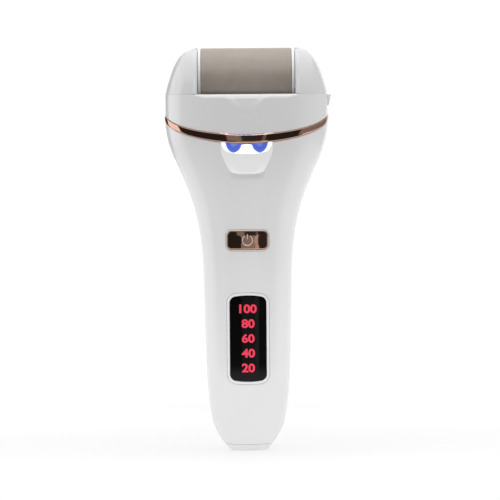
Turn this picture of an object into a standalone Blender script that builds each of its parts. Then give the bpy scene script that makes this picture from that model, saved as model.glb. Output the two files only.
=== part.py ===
"""Electric callus remover: a rechargeable handheld foot file that stands upright on its lower end.

Lengths are in millimetres, and MM turns them into metres when a mesh is made.  X runs across the handle,
Y from the front to the back and Z up.  The origin is the middle of the foot.
"""

from math import acos, copysign, cos, pi, radians, sin, sqrt, tan, tau

import bmesh
import bpy
from mathutils import Vector

MM = 0.001
GAP = 0.3
SHARP_ANGLE = radians(35)

# Outer form: height, half width, half depth.  The arms beside the roller carry on from the rim below them.
FORM = (
    (0.0, 8.6, 7.8),
    (2.5, 10.7, 9.5),
    (5.0, 12.6, 11.0),
    (8.5, 14.6, 12.7),
    (13.5, 16.6, 14.3),
    (22.0, 18.0, 15.6),
    (36.0, 19.2, 16.7),
    (60.0, 19.9, 17.3),
    (85.0, 20.5, 17.8),
    (98.0, 21.6, 18.4),
    (108.0, 23.4, 19.3),
    (118.0, 26.4, 20.6),
    (128.0, 30.5, 22.0),
    (136.0, 34.1, 23.0),
    (143.0, 36.3, 23.6),
    (150.0, 37.3, 23.9),
    (163.2, 37.3, 23.2),
)
ARM_FORM = (
    (163.5, 37.25, 23.15),
    (166.5, 36.5, 22.2),
    (170.5, 35.3, 20.8),
    (174.5, 33.9, 18.9),
    (178.0, 32.3, 16.6),
    (181.0, 30.3, 13.9),
    (183.2, 27.8, 10.9),
    (184.5, 24.8, 8.2),
)
SECTION_POWER = 2.4
SHELL_WALL = 2.2
HOUSING_WALL = 3.6
AROUND = 40
BASE_TOP = 3.0
SPIGOT_TOP = 6.0
RIM_Z = 163.2

# Heights of the rows of points on the handle shells, outside and inside, below the arch under the ring.
SHELL_ROWS = (3.3, 6.0, 9.5, 14.0, 20.0, 32.0, 55.0, 85.0, 98.0, 108.0, 116.0, 122.0)
INNER_ROWS = (3.3, 10.0, 22.0, 60.0, 100.0, 114.0)
ARCH_FROM = SHELL_ROWS[-1]
ARCH_STEPS = 4
HOUSING_STEPS = 3

# Trim ring: it dips at the front and back and rises at the sides.
RING_LOW_SIDE = 151.6
RING_LOW_SAG = 10.6
RING_HIGH_SIDE = 153.9
RING_HIGH_SAG = 9.0
RING_PEAK_SOFTNESS = 0.12
RING_DEPTH = 2.2
RING_PROUD = (0.5, 0.15)
TONGUE_DROP = 3.0
TONGUE_INSET = 2.8

# Roller and its bearings, all about one cross axis.
ROLLER_Z = 170.5
ROLLER_R = 14.0
ROLLER_HALF = 20.7
SLEEVE_WALL = 1.7
CORE_WALL = 1.6
END_DISC_X = (18.9, 21.0)
FLANGE_X = 21.9
FLANGE_R = 13.7
NOTCH_HALF = 22.2
TROUGH_R = 15.5
TROUGH_WALL = 1.8
END_WALL = 2.0
CARRIER_HALF = 4.0
HOOD_X = (-28.0, -24.5)
HOOD_HALF = 5.9
HUB_R = 1.9
AXLE_R = 1.0
AXLE_X = (-27.9, 27.3)
BORE_R = 1.3
RIGHT_SLOT_X = 27.6
COG_POCKET_HALF = 6.2
COG_POCKET_X = (-28.3, -24.2)
COG_X = (-27.5, -24.5)
HUB_END_X = -25.5
IDLER_BOSS_R = 3.2
IDLER_BOSS_X = (-34.4, -28.8)
DECK_LOW = 160.8
DECK_TOP = 163.1
ARM_LOW = 163.5
ABOVE = 190.0

# Gear train: pinion, step gear, idler and roller cog stand one above the other.
GEAR_MODULE = 0.8
COG_TEETH = 12
IDLER_TEETH = 26
STEP_SMALL_TEETH = 12
STEP_LARGE_TEETH = 30
PINION_TEETH = 10
OUTER_PLANE = (-27.4, -24.6)
INNER_PLANE = (-23.6, -20.6)
PIN_R = 1.2
PIN_BORE_R = 1.5
IDLER_PIN_X = (-33.6, -24.5)
STEP_PIN_X = (-28.0, -13.2)
IDLER_Z = ROLLER_Z - GEAR_MODULE * (COG_TEETH + IDLER_TEETH) / 2
STEP_Z = IDLER_Z - GEAR_MODULE * (IDLER_TEETH + STEP_SMALL_TEETH) / 2
MOTOR_Z = STEP_Z - GEAR_MODULE * (STEP_LARGE_TEETH + PINION_TEETH) / 2
PLATE_X = (-16.1, -14.3)
MOTOR_R = 12.0
MOTOR_X = (-14.0, 14.0)
CAN_WALL = 1.2
CAN_END = 1.6
SHAFT_R = 1.15
ROTOR_R = 8.2
ROTOR_X = (-9.0, 8.0)
COMMUTATOR_R = 3.2
SHAFT_X = (-23.9, 16.6)
PINION_X = (-23.5, -20.7)
MAGNET_R = (8.6, 10.4)
MAGNET_REACH = radians(62)
MAGNET_STEPS = 6
MOTOR_SCREW_Y = 8.0
MOTOR_SCREW_PROFILE = ((-17.9, 1.7), (-16.4, 1.9), (-16.4, 0.9), (-12.8, 0.9))
END_CAP_PROFILE = ((14.3, 1.5), (14.3, 11.4), (17.6, 11.4), (18.6, 9.0), (18.6, 1.5))
PLATE_SIZE = (26.0, 36.0, 5.0)
PLATE_Z = 129.8
SADDLES = (
    ("motor_saddle_front", (-24.0, -7.5), (115.0, 126.4)),
    ("motor_saddle_rear", (7.5, 24.0), (115.0, 133.0)),
)
SADDLE_HALF = 8.0

# Things let into the front of the handle.
BUTTON_Z = 97.0
BUTTON_SIZE = (18.4, 8.3)
BUTTON_RIM = 0.7
BUTTON_PROUD = 0.5
DISPLAY_Z = 52.2
DISPLAY_SIZE = (16.6, 39.3)
DISPLAY_BULGE = 1.0
DISPLAY_RIM = 1.3
LAMP_TOP = 146.0
LENS_HALF = 10.5
LENS_Z = (135.7, 140.0)
LAMP_LED_X = (-6.4, 0.0, 6.4)
LAMP_LED_Z = 137.9
LAMP_LED_SIZE = (2.8, 2.4)
LAMP_LED_Y = (-20.2, -17.1)
LAMP_BOARD_Y = (-16.8, -15.7)
LAMP_ROOM = ((-12.6, 12.6), (-30.0, -10.0), (130.0, 142.0))
DISH_Z = 132.0
DISH_SIZE = (8.6, 3.0)
DISH_DEPTHS = ((-26.0, 1.0), (-22.6, 1.0), (-21.6, 0.93), (-20.6, 0.7), (-20.1, 0.35))
SWITCH_Y = -11.9
SWITCH_HALF = 3.0
PLUNGER_R = 1.4
PLUNGER_Y = (-13.1, -10.8)
BUTTON_POST_R = 1.6
BUTTON_POST_Y = (-16.9, -13.4)
MASK_HALF = (7.6, 18.6)
MASK_Y = (-13.4, -11.6)
DISPLAY_BOARD_Y = (-11.3, -10.1)
FIGURE_PITCH = 7.0
FIGURE_HALF = (5.0, 2.4)
BOARD_Y = (-8.4, -7.0)

# Release catch on the right-hand side.
CATCH_HALF = 5.0
CATCH_Z = (157.8, 163.1)
CATCH_OUT = 38.9
CATCH_FACE = 37.6
CATCH_TIP_HALF = 4.2
CATCH_STEM_X = (30.8, 32.2)
CATCH_FINGER_Y = (4.6, 6.4)
CATCH_FINGER_Z = (169.0, 172.0)
SPRING_X = (24.7, 28.7)
SPRING_Z = 158.4
SPRING_R = 1.7
SPRING_WIRE = 0.35
SPRING_TURNS = 4
SPRING_STEPS = 9

# Battery and charging socket.
BATTERY_R = 9.1
BATTERY_Y = 3.6
BATTERY_Z = (24.0, 89.0)
BATTERY_EDGE = 0.6
TAB_THICK = 0.4
TAB_HALF = 2.5
TAB_LEG = 6.0
TAB_REACH_Y = 7.0
MAIN_BOARD = ((-11.5, 11.5), (24.0, 110.0))
DRIVER_CHIP = ((3.5, 9.5), -10.4, (80.0, 86.0))
CHARGE_CHIP = ((-9.0, -4.0), -10.0, (80.0, 85.0))
CHARGE_BOARD = ((-6.2, 6.2), (1.9, 3.1), (SPIGOT_TOP + 0.4, 20.5))
SOCKET_SIZE = (8.9, 3.2)
SOCKET_Z = (0.6, 8.0)
SOCKET_WALL = 0.35
TONGUE_HALF = (3.3, 0.35)

SHELL_SCREWS = ((-17.0, 108.0), (17.0, 108.0), (-10.0, 15.5), (10.0, 15.5))
SCREW_HOLE_R = 1.4
BOSS_R = 2.6
POST_R = 3.3
COUNTERBORE_R = 2.5
BOSS_FACE_Y = 0.6
HOLE_END_Y = 7.0
SHELL_SCREW_PROFILE = ((-6.2, 1.1), (5.3, 1.1), (5.3, 2.1), (HOLE_END_Y, 1.8))
HEAD_SCREWS = ((-29.9, 9.6), (29.9, 9.6))
THREAD_R = 1.1
HEAD_POST_R = 2.2
HEAD_POST_LOW = 152.0
HEAD_SCREW_PROFILE = ((150.0, 1.6), (151.7, 1.6), (151.7, 0.8), (ARM_LOW + 1.4, 0.8))


# ---------------------------------------------------------------- materials

def material(name, colour, roughness, metallic=0.0, transmission=0.0):
    """Principled material with the given linear colour."""
    made = bpy.data.materials.new(name)
    made.use_nodes = True
    shader = made.node_tree.nodes["Principled BSDF"]
    shader.inputs["Base Color"].default_value = (*colour, 1.0)
    shader.inputs["Roughness"].default_value = roughness
    shader.inputs["Metallic"].default_value = metallic
    shader.inputs["Transmission Weight"].default_value = transmission
    made.diffuse_color = (*colour, 1.0)
    return made


# ---------------------------------------------------------------- outer form

def slopes_of(heights, values):
    """Slopes of a smooth curve through the values that never overshoots them."""
    steps = [
        (values[i + 1] - values[i]) / (heights[i + 1] - heights[i])
        for i in range(len(values) - 1)
    ]
    inner = [
        0.0 if before * after <= 0 else 2 * before * after / (before + after)
        for before, after in zip(steps, steps[1:])
    ]
    return [steps[0]] + inner + [steps[-1]]


def curve_through(stations, column):
    """Function of height that passes smoothly through one column of the stations."""
    heights = [row[0] for row in stations]
    values = [row[column] for row in stations]
    slopes = slopes_of(heights, values)

    def value_at(z):
        if z <= heights[0]:
            return values[0]
        if z >= heights[-1]:
            return values[-1]
        i = max(k for k, height in enumerate(heights) if height <= z)
        span = heights[i + 1] - heights[i]
        t = (z - heights[i]) / span
        return (
            values[i] * (2 * t**3 - 3 * t**2 + 1)
            + slopes[i] * span * (t**3 - 2 * t**2 + t)
            + values[i + 1] * (3 * t**2 - 2 * t**3)
            + slopes[i + 1] * span * (t**3 - t**2)
        )

    return value_at


BODY = (curve_through(FORM, 1), curve_through(FORM, 2))
ARMS = (curve_through(ARM_FORM, 1), curve_through(ARM_FORM, 2))


def form_point(angle, z, inset=0.0, form=BODY):
    """Point on the outer form at an angle about Z, drawn in by the inset."""
    half_width = form[0](z) - inset
    half_depth = form[1](z) - inset
    x = abs(cos(angle)) ** (2 / SECTION_POWER)
    y = abs(sin(angle)) ** (2 / SECTION_POWER)
    return Vector((half_width * copysign(x, cos(angle)), half_depth * copysign(y, sin(angle)), z))


def form_ring(z, inset=0.0, form=BODY):
    """Closed ring of points round the outer form at one height."""
    return [form_point(tau * k / AROUND, z, inset, form) for k in range(AROUND)]


def arch_height(angle, side, sag):
    """Height of an arch that is at side beside the handle and lower by sag at its front and back."""
    across = abs(cos(angle)) ** (2 / SECTION_POWER)
    rise = sqrt(1.0 - across * across + RING_PEAK_SOFTNESS**2) - RING_PEAK_SOFTNESS
    full = sqrt(1.0 + RING_PEAK_SOFTNESS**2) - RING_PEAK_SOFTNESS
    return side - sag * rise / full


def ring_low(angle):
    return arch_height(angle, RING_LOW_SIDE, RING_LOW_SAG)


def ring_high(angle):
    return arch_height(angle, RING_HIGH_SIDE, RING_HIGH_SAG)


# ---------------------------------------------------------------- mesh tools

def finish(name, bm, look, origin=(0.0, 0.0, 0.0)):
    """Object from a mesh in millimetres, with its origin at the given point."""
    bmesh.ops.recalc_face_normals(bm, faces=bm.faces)
    shift = Vector(origin)
    for vert in bm.verts:
        vert.co = (vert.co - shift) * MM
    mesh = bpy.data.meshes.new(name)
    bm.to_mesh(mesh)
    bm.free()
    mesh.materials.append(look)
    mesh.shade_smooth()
    mesh.set_sharp_from_angle(angle=SHARP_ANGLE)
    made = bpy.data.objects.new(name, mesh)
    made.location = shift * MM
    bpy.context.collection.objects.link(made)
    bpy.context.view_layer.update()
    return made


def combine(target, tool, operation):
    """Joins, cuts or intersects the target with another solid, which is then removed."""
    step = target.modifiers.new("Combine", "BOOLEAN")
    step.operation = operation
    step.solver = "EXACT"
    step.object = tool
    bpy.context.view_layer.update()
    evaluated = target.evaluated_get(bpy.context.evaluated_depsgraph_get())
    mesh = bpy.data.meshes.new_from_object(evaluated)
    target.modifiers.clear()
    target.data = mesh
    mesh.name = target.name
    bpy.data.objects.remove(tool)
    return target


def cut(target, tool):
    return combine(target, tool, "DIFFERENCE")


def join(target, tool):
    return combine(target, tool, "UNION")


def keep_inside(target, tool):
    return combine(target, tool, "INTERSECT")


def loft(rings, loop=False):
    """Closed body through rings of equal length; a loop joins the last ring to the first."""
    bm = bmesh.new()
    rows = [[bm.verts.new(point) for point in ring] for ring in rings]
    pairs = list(zip(rows, rows[1:]))
    if loop:
        pairs.append((rows[-1], rows[0]))
    for lower, upper in pairs:
        for i in range(len(lower)):
            j = (i + 1) % len(lower)
            bm.faces.new((lower[i], lower[j], upper[j], upper[i]))
    if not loop:
        bm.faces.new(list(reversed(rows[0])))
        bm.faces.new(rows[-1])
    return bm


def spot(axis, along, u, v):
    """Point at a distance along an axis, with u and v on the other two axes in X, Y, Z order."""
    return Vector({"X": (along, u, v), "Y": (u, along, v), "Z": (u, v, along)}[axis])


def prism(name, outline, axis, low, high, look):
    """Straight solid with the outline, from low to high along the axis."""
    rings = [[spot(axis, along, u, v) for u, v in outline] for along in (low, high)]
    return finish(name, loft(rings), look)


def block(name, x, y, z, look):
    """Rectangular solid between the pairs of limits."""
    corners = ((x[0], y[0]), (x[1], y[0]), (x[1], y[1]), (x[0], y[1]))
    return prism(name, corners, "Z", z[0], z[1], look)


def turned(name, profile, axis, centre, look, sides=24, origin=(0.0, 0.0, 0.0)):
    """Solid of revolution through (along, radius) points; centre is on the other two axes."""
    rings = [
        [
            spot(axis, along, centre[0] + r * cos(tau * k / sides), centre[1] + r * sin(tau * k / sides))
            for k in range(sides)
        ]
        for along, r in profile
    ]
    return finish(name, loft(rings), look, origin)


def turned_hollow(name, profile, axis, centre, look, sides=24, origin=(0.0, 0.0, 0.0)):
    """Revolved closed profile of (along, radius) points, with a hole through its middle."""
    rings = [
        [
            spot(axis, along, centre[0] + r * cos(tau * k / sides), centre[1] + r * sin(tau * k / sides))
            for along, r in profile
        ]
        for k in range(sides)
    ]
    return finish(name, loft(rings, loop=True), look, origin)


def rod(name, radius, low, high, axis, centre, look, sides=12):
    return turned(name, ((low, radius), (high, radius)), axis, centre, look, sides)


def rounded_outline(width, height, radius, centre=(0.0, 0.0), bulge=0.0, corner_steps=4, edge_steps=6):
    """Rounded rectangle whose short sides at top and bottom swell by the bulge."""
    points = []
    for quarter in range(4):
        cx = (width / 2 - radius) * (1 if quarter in (0, 3) else -1)
        cy = (height / 2 - radius) * (1 if quarter in (0, 1) else -1)
        for k in range(corner_steps + 1):
            turn = pi / 2 * (quarter + k / corner_steps)
            points.append((cx + radius * cos(turn), cy + radius * sin(turn)))
        if bulge and quarter in (0, 2):
            sign = 1 if quarter == 0 else -1
            for k in range(1, edge_steps):
                points.append((cx * (1 - 2 * k / edge_steps), sign * height / 2))
    swell = [bulge * (1 - (2 * x / width) ** 2) * copysign(1, y) if bulge else 0.0 for x, y in points]
    return [(centre[0] + x, centre[1] + y + s) for (x, y), s in zip(points, swell)]


def sweep_form(profile_at, start=0.0, turn=tau, steps=AROUND, seam_y=None):
    """Body swept round the outer form; profile_at gives (height, inset) points at an angle.

    A part turn has flat ends on the plane y = seam_y.
    """
    whole = seam_y is None
    rings = []
    for k in range(steps if whole else steps + 1):
        angle = start + turn * k / steps
        ring = [form_point(angle, z, inset) for z, inset in profile_at(angle)]
        if not whole and k in (0, steps):
            for point in ring:
                point.y = seam_y
        rings.append(ring)
    return loft(rings, loop=whole)


# ---------------------------------------------------------------- handle shells

def shell_profile(angle):
    """Wall of a handle shell: up the outside, then down the inside."""
    top = ring_low(angle) - GAP
    outer = [(z, 0.0) for z in SHELL_ROWS]
    outer += [(ARCH_FROM + (top - ARCH_FROM) * k / ARCH_STEPS, 0.0) for k in range(1, ARCH_STEPS + 1)]
    inner = [(ARCH_FROM + (top - ARCH_FROM) * k / 2, SHELL_WALL) for k in (2, 1)]
    inner += [(z, SHELL_WALL) for z in reversed(INNER_ROWS)]
    return outer + inner


def form_solid(name, heights, inset, look):
    """Solid with the outer form, drawn in by the inset, through the heights."""
    return finish(name, loft([form_ring(z, inset) for z in heights]), look)


def form_band(name, low, high, outer_inset, inner_inset, look, steps=4):
    """Front half of a layer of the form between two insets, for pieces let into the wall."""
    def profile(angle):
        heights = [low + (high - low) * k / steps for k in range(steps + 1)]
        return [(z, outer_inset) for z in heights] + [(z, inner_inset) for z in reversed(heights)]
    return finish(name, sweep_form(profile, pi, pi, AROUND // 2, -GAP), look)


def make_front_shell(white):
    """Front half of the handle, with screw bosses and the openings for the button, display and lamp."""
    shell = finish("front_shell", sweep_form(shell_profile, pi, pi, AROUND // 2, -GAP / 2), white)
    for x, z in SHELL_SCREWS:
        deep = -10.5 if z > ARCH_FROM / 2 else -9.0
        join(shell, rod("boss", BOSS_R, deep, -BOSS_FACE_Y, "Y", (x, z), white))
        cut(shell, rod("hole", SCREW_HOLE_R, -HOLE_END_Y, 1.0, "Y", (x, z), white, 8))
    openings = (
        prism("opening", button_outline(2 * GAP + 2 * BUTTON_RIM), "Y", -30.0, -8.0, white),
        prism("opening", display_outline(2 * GAP + 2 * DISPLAY_RIM), "Y", -30.0, -8.0, white),
        prism("opening", lamp_outline(GAP), "Y", -30.0, -8.0, white),
    )
    for opening in openings:
        cut(shell, opening)
    return shell


def make_rear_shell(white):
    """Rear half of the handle, with posts and counterbores for the four screws."""
    shell = finish("rear_shell", sweep_form(shell_profile, 0.0, pi, AROUND // 2, GAP / 2), white)
    for x, z in SHELL_SCREWS:
        deep = 12.5 if z > ARCH_FROM / 2 else 10.5
        join(shell, rod("post", POST_R, BOSS_FACE_Y, deep, "Y", (x, z), white))
        cut(shell, rod("bore", SCREW_HOLE_R, 0.0, 8.0, "Y", (x, z), white, 8))
        cut(shell, rod("counterbore", COUNTERBORE_R, 5.0, 30.0, "Y", (x, z), white, 14))
    return shell


def make_base_cap(white):
    """Plug in the lower end: the foot, a spigot inside the shells and the socket slot."""
    rings = [form_ring(z) for z in (0.0, 1.4, BASE_TOP)]
    rings += [form_ring(BASE_TOP, SHELL_WALL + GAP), form_ring(SPIGOT_TOP, SHELL_WALL + GAP)]
    cap = finish("base_cap", loft(rings), white)
    slot = rounded_outline(SOCKET_SIZE[0] + 0.8, SOCKET_SIZE[1] + 0.8, 1.9)
    return cut(cap, prism("slot", slot, "Z", -1.0, SPIGOT_TOP + 1.0, white))


# ---------------------------------------------------------------- ring and head

def make_trim_ring(copper):
    """Plated band between the handle and the head, arched down at the front and back."""
    def profile(angle):
        low, high = ring_low(angle), ring_high(angle)
        edge = 0.25 * (high - low)
        return (
            (low, RING_DEPTH), (low, 0.1), (low + edge, -RING_PROUD[0]),
            (high - edge, -RING_PROUD[1]), (high, 0.1), (high, RING_DEPTH),
        )
    return finish("trim_ring", sweep_form(profile), copper)


def housing_profile(angle):
    """Wall of the head housing, with the tongue that reaches down inside the ring and the shells."""
    foot = ring_low(angle) - TONGUE_DROP
    base = ring_high(angle) + GAP
    outer = [(base + (RIM_Z - 1.4 - base) * k / HOUSING_STEPS, 0.0) for k in range(HOUSING_STEPS, -1, -1)]
    return (
        [(foot, HOUSING_WALL), (base, HOUSING_WALL), (RIM_Z, HOUSING_WALL), (RIM_Z, 1.0), (RIM_Z - 0.4, 0.3)]
        + outer
        + [(base, TONGUE_INSET), (foot, TONGUE_INSET)]
    )


def make_head_housing(white):
    head = finish("head_housing", sweep_form(housing_profile), white)
    cut(head, block("lamp_room", *LAMP_ROOM, white))
    join(head, rod("idler_boss", IDLER_BOSS_R, *IDLER_BOSS_X, "X", (0.0, IDLER_Z), white))
    cut(head, rod("idler_pin_hole", PIN_BORE_R, IDLER_PIN_X[0] - GAP, -28.0, "X", (0.0, IDLER_Z), white, 12))
    window = (RIM_Z + 1.0, CATCH_Z[0] - GAP)
    cut(head, block("catch_window", (30.0, 42.0), (-CATCH_HALF - GAP, CATCH_HALF + GAP), window[::-1], white))
    for x, y in HEAD_SCREWS:
        join(head, rod("screw_post", HEAD_POST_R, HEAD_POST_LOW, DECK_LOW - GAP, "Z", (x, y), white, 12))
        cut(head, rod("screw_hole", THREAD_R, HEAD_POST_LOW - 2.0, RIM_Z + 1.0, "Z", (x, y), white, 10))
        cut(head, rod("head_room", 2.0, HEAD_POST_LOW - 3.5, HEAD_POST_LOW, "Z", (x, y), white, 12))
    return head


def slot_outline(half, low_z, high_z, steps=8):
    """Open-topped slot with a round bottom, as (y, z) points."""
    turns = [pi + pi * k / steps for k in range(steps + 1)]
    round_end = [(half * cos(turn), low_z + half * sin(turn)) for turn in turns]
    return round_end + [(half, high_z), (-half, high_z)]


def arms_solid(name, look):
    """Solid with the outer form of the arms on both sides of the roller."""
    return finish(name, loft([form_ring(row[0], 0.0, ARMS) for row in ARM_FORM]), look)


def make_roller_cradle(white):
    """Arms, deck and dust trough round the roller."""
    cradle = arms_solid("roller_cradle", white)
    deck_inset = HOUSING_WALL + GAP
    join(cradle, form_solid("deck", (DECK_LOW, RIM_Z - 1.0, ARM_LOW + 0.8), deck_inset, white))
    trough_r = TROUGH_R + TROUGH_WALL
    end_x = NOTCH_HALF + END_WALL
    trough = rod("trough", trough_r, -end_x, end_x, "X", (0.0, ROLLER_Z), white, 32)
    keep_inside(trough, form_solid("room", (150.0, ARM_LOW + 0.5), deck_inset, white))
    join(cradle, trough)
    over = ROLLER_Z + trough_r + 5.0
    cut(cradle, block("notch", (-NOTCH_HALF, NOTCH_HALF), (-30.0, 30.0), (DECK_TOP, over), white))
    cut(cradle, rod("well", TROUGH_R, -NOTCH_HALF, NOTCH_HALF, "X", (0.0, ROLLER_Z), white, 32))
    half = CARRIER_HALF + GAP
    axle_slot = slot_outline(half, ROLLER_Z, over)
    cut(cradle, prism("axle_slot", axle_slot, "X", COG_POCKET_X[0] + 1.0, RIGHT_SLOT_X, white))
    pocket = slot_outline(COG_POCKET_HALF, ROLLER_Z, over)
    cut(cradle, prism("cog_pocket", pocket, "X", *COG_POCKET_X, white))
    tip = gear_tip(IDLER_TEETH) + 0.6
    cut(cradle, rod("idler_room", tip, *COG_POCKET_X, "X", (0.0, IDLER_Z), white, 32))
    wide = CATCH_FINGER_Y[1] + 0.4
    top = CATCH_FINGER_Z[1] + 0.4
    cut(cradle, block("catch_notch", (27.9, 42.0), (-wide, wide), (DECK_LOW - 1.0, ARM_LOW + 0.4), white))
    cut(cradle, block("catch_channel", (22.4, 33.4), (half - 0.6, wide), (ARM_LOW - 1.0, top), white))
    for x, y in HEAD_SCREWS:
        cut(cradle, rod("thread", THREAD_R, DECK_LOW - 1.0, ARM_LOW + 2.0, "Z", (x, y), white, 10))
    return cradle


def make_release_catch(white, steel):
    """Side button with its inner flange and the finger that lies beside the right-hand carrier."""
    button = block("release_button", (31.0, CATCH_FACE), (-CATCH_HALF, CATCH_HALF), CATCH_Z, white)
    cap = [
        [
            Vector((CATCH_FACE - 0.2, -CATCH_HALF, z)), Vector((CATCH_FACE - 0.2, CATCH_HALF, z)),
            Vector((out, CATCH_TIP_HALF, z)), Vector((out, -CATCH_TIP_HALF, z)),
        ]
        for z, out in zip(CATCH_Z, (CATCH_FACE + 0.1, CATCH_OUT))
    ]
    join(button, finish("cap", loft(cap), white))
    wide = CATCH_FINGER_Y[1]
    join(button, block("flange", CATCH_STEM_X, (-wide, wide), (CATCH_Z[0] - 1.2, CATCH_Z[1]), white))
    join(button, block("upright", CATCH_STEM_X, CATCH_FINGER_Y, (157.5, CATCH_FINGER_Z[1]), white))
    join(button, block("finger", (24.4, CATCH_STEM_X[1]), CATCH_FINGER_Y, CATCH_FINGER_Z, white))
    finish("release_spring", loft(spring_rings()), steel)
    return button


def spring_rings():
    """Sections of the coil spring behind the release button, at the length it has when pressed."""
    rings = []
    steps = SPRING_TURNS * SPRING_STEPS
    for k in range(steps + 1):
        angle = tau * k / SPRING_STEPS
        outward = Vector((0.0, cos(angle), sin(angle)))
        along = SPRING_X[0] + (SPRING_X[1] - SPRING_X[0]) * k / steps
        centre = Vector((along, 0.0, SPRING_Z)) + SPRING_R * outward
        rings.append([
            centre + SPRING_WIRE * (outward * cos(pi / 2 * s) + Vector((sin(pi / 2 * s), 0.0, 0.0)))
            for s in range(4)
        ])
    return rings


# ---------------------------------------------------------------- gears

def involute(angle):
    return tan(angle) - angle


def gear_tip(teeth):
    return GEAR_MODULE * (teeth / 2 + 0.9)


def gear_outline(teeth, centre, gap_up=False):
    """Involute gear as (y, z) points; a tooth points up, or a gap does."""
    pitch_r = GEAR_MODULE * teeth / 2
    base_r = pitch_r * cos(radians(20))
    root_r = pitch_r - 1.25 * GEAR_MODULE
    tip_r = gear_tip(teeth)
    half_pitch_angle = (pi * GEAR_MODULE / 2 - 0.25) / (2 * pitch_r)
    half_angles = []
    for r in (root_r, pitch_r, tip_r):
        reach = max(r, base_r)
        half_angles.append((r, half_pitch_angle + involute(radians(20)) - involute(acos(base_r / reach))))
    points = []
    for tooth in range(teeth):
        middle = tau * (tooth + (0.5 if gap_up else 0.0)) / teeth
        for side in (-1, 1):
            for r, half in half_angles if side < 0 else reversed(half_angles):
                turn = middle + side * half
                points.append((centre[0] + r * sin(turn), centre[1] + r * cos(turn)))
    return points


def gear(name, teeth, z, plane, look, bore, gap_up=False):
    made = prism(name, gear_outline(teeth, (0.0, z), gap_up), "X", *plane, look)
    if bore:
        cut(made, rod("bore", bore, plane[0] - 1.0, plane[1] + 1.0, "X", (0.0, z), look))
    return made


def set_origin(obj, point):
    """Moves an object's origin to the point without moving its mesh in space."""
    shift = Vector(point) * MM - obj.location
    for vert in obj.data.vertices:
        vert.co -= shift
    obj.location += shift
    bpy.context.view_layer.update()


def make_gear_train(nylon, steel, brass):
    """Pinion on the motor, stepped gear and idler, which drive the cog of the roller."""
    idler = gear("idler_gear", IDLER_TEETH, IDLER_Z, OUTER_PLANE, nylon, PIN_BORE_R, True)
    step = gear("step_gear", STEP_LARGE_TEETH, STEP_Z, INNER_PLANE, nylon, None)
    join(step, gear("small", STEP_SMALL_TEETH, STEP_Z, (OUTER_PLANE[0], INNER_PLANE[0] + 1.0), nylon, None))
    cut(step, rod("bore", PIN_BORE_R, -30.0, -18.0, "X", (0.0, STEP_Z), nylon))
    pinion = gear("motor_pinion", PINION_TEETH, MOTOR_Z, PINION_X, brass, SHAFT_R + GAP, True)
    set_origin(idler, (0.0, 0.0, IDLER_Z))
    set_origin(step, (0.0, 0.0, STEP_Z))
    set_origin(pinion, (0.0, 0.0, MOTOR_Z))
    rod("idler_gear_pin", PIN_R, *IDLER_PIN_X, "X", (0.0, IDLER_Z), steel)
    rod("step_gear_pin", PIN_R, *STEP_PIN_X, "X", (0.0, STEP_Z), steel)


def make_motor(steel, black, winding, magnet):
    """Motor lying across the head: can, plate with two screws, rotor, end cap and magnets."""
    centre = (0.0, MOTOR_Z)
    inner = MOTOR_R - CAN_WALL
    can_profile = (
        (MOTOR_X[0], CAN_END + 0.2), (MOTOR_X[0], MOTOR_R), (MOTOR_X[1], MOTOR_R), (MOTOR_X[1], inner),
        (MOTOR_X[0] + CAN_END, inner), (MOTOR_X[0] + CAN_END, CAN_END + 0.2),
    )
    can = turned_hollow("motor_can", can_profile, "X", centre, steel, 24)
    plate = prism("gear_plate", rounded_outline(*PLATE_SIZE, (0.0, PLATE_Z)), "X", *PLATE_X, steel)
    through = (PLATE_X[0] - 1.0, PLATE_X[1] + 1.0)
    cut(plate, rod("shaft_hole", 3.4, *through, "X", centre, steel))
    cut(plate, rod("pin_hole", PIN_BORE_R, *through, "X", (0.0, STEP_Z), steel, 12))
    for number, side in enumerate((-1, 1), 1):
        at = (side * MOTOR_SCREW_Y, MOTOR_Z)
        cut(plate, rod("hole", 1.2, *through, "X", at, steel, 12))
        cut(can, rod("hole", 1.2, MOTOR_X[0] - 1.0, MOTOR_X[0] + 3.0, "X", at, steel, 12))
        turned(f"motor_screw_{number}", MOTOR_SCREW_PROFILE, "X", at, steel, 10)
    rotor_profile = (
        (SHAFT_X[0], SHAFT_R), (ROTOR_X[0], SHAFT_R), (ROTOR_X[0], ROTOR_R), (ROTOR_X[1], ROTOR_R),
        (ROTOR_X[1], COMMUTATOR_R), (ROTOR_X[1] + 4.0, COMMUTATOR_R), (ROTOR_X[1] + 4.0, SHAFT_R),
        (SHAFT_X[1], SHAFT_R),
    )
    turned("motor_rotor", rotor_profile, "X", centre, winding, 16, (0.0, 0.0, MOTOR_Z))
    turned_hollow("motor_end_cap", END_CAP_PROFILE, "X", centre, black, 20)
    make_magnet("motor_magnet_front", pi, magnet)
    make_magnet("motor_magnet_rear", 0.0, magnet)


def make_magnet(name, middle, look):
    """Curved magnet inside the can, centred on an angle about the motor's axis."""
    ends = (ROTOR_X[0], -ROTOR_X[0])
    corners = ((ends[0], MAGNET_R[0]), (ends[0], MAGNET_R[1]), (ends[1], MAGNET_R[1]), (ends[1], MAGNET_R[0]))
    rings = []
    for k in range(MAGNET_STEPS + 1):
        turn = middle + MAGNET_REACH * (2 * k / MAGNET_STEPS - 1)
        rings.append([Vector((x, r * cos(turn), MOTOR_Z + r * sin(turn))) for x, r in corners])
    finish(name, loft(rings), look)


def make_motor_saddles(rubber):
    """Pads between the motor and the two handle shells."""
    for name, y, z in SADDLES:
        pad = block(name, (-SADDLE_HALF, SADDLE_HALF), y, z, rubber)
        keep_inside(pad, form_solid("room", (110.0, 118.0, 128.0, 136.0), SHELL_WALL + GAP, rubber))
        cut(pad, rod("can", MOTOR_R + GAP, -20.0, 20.0, "X", (0.0, MOTOR_Z), rubber, 32))


# ---------------------------------------------------------------- roller

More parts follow.
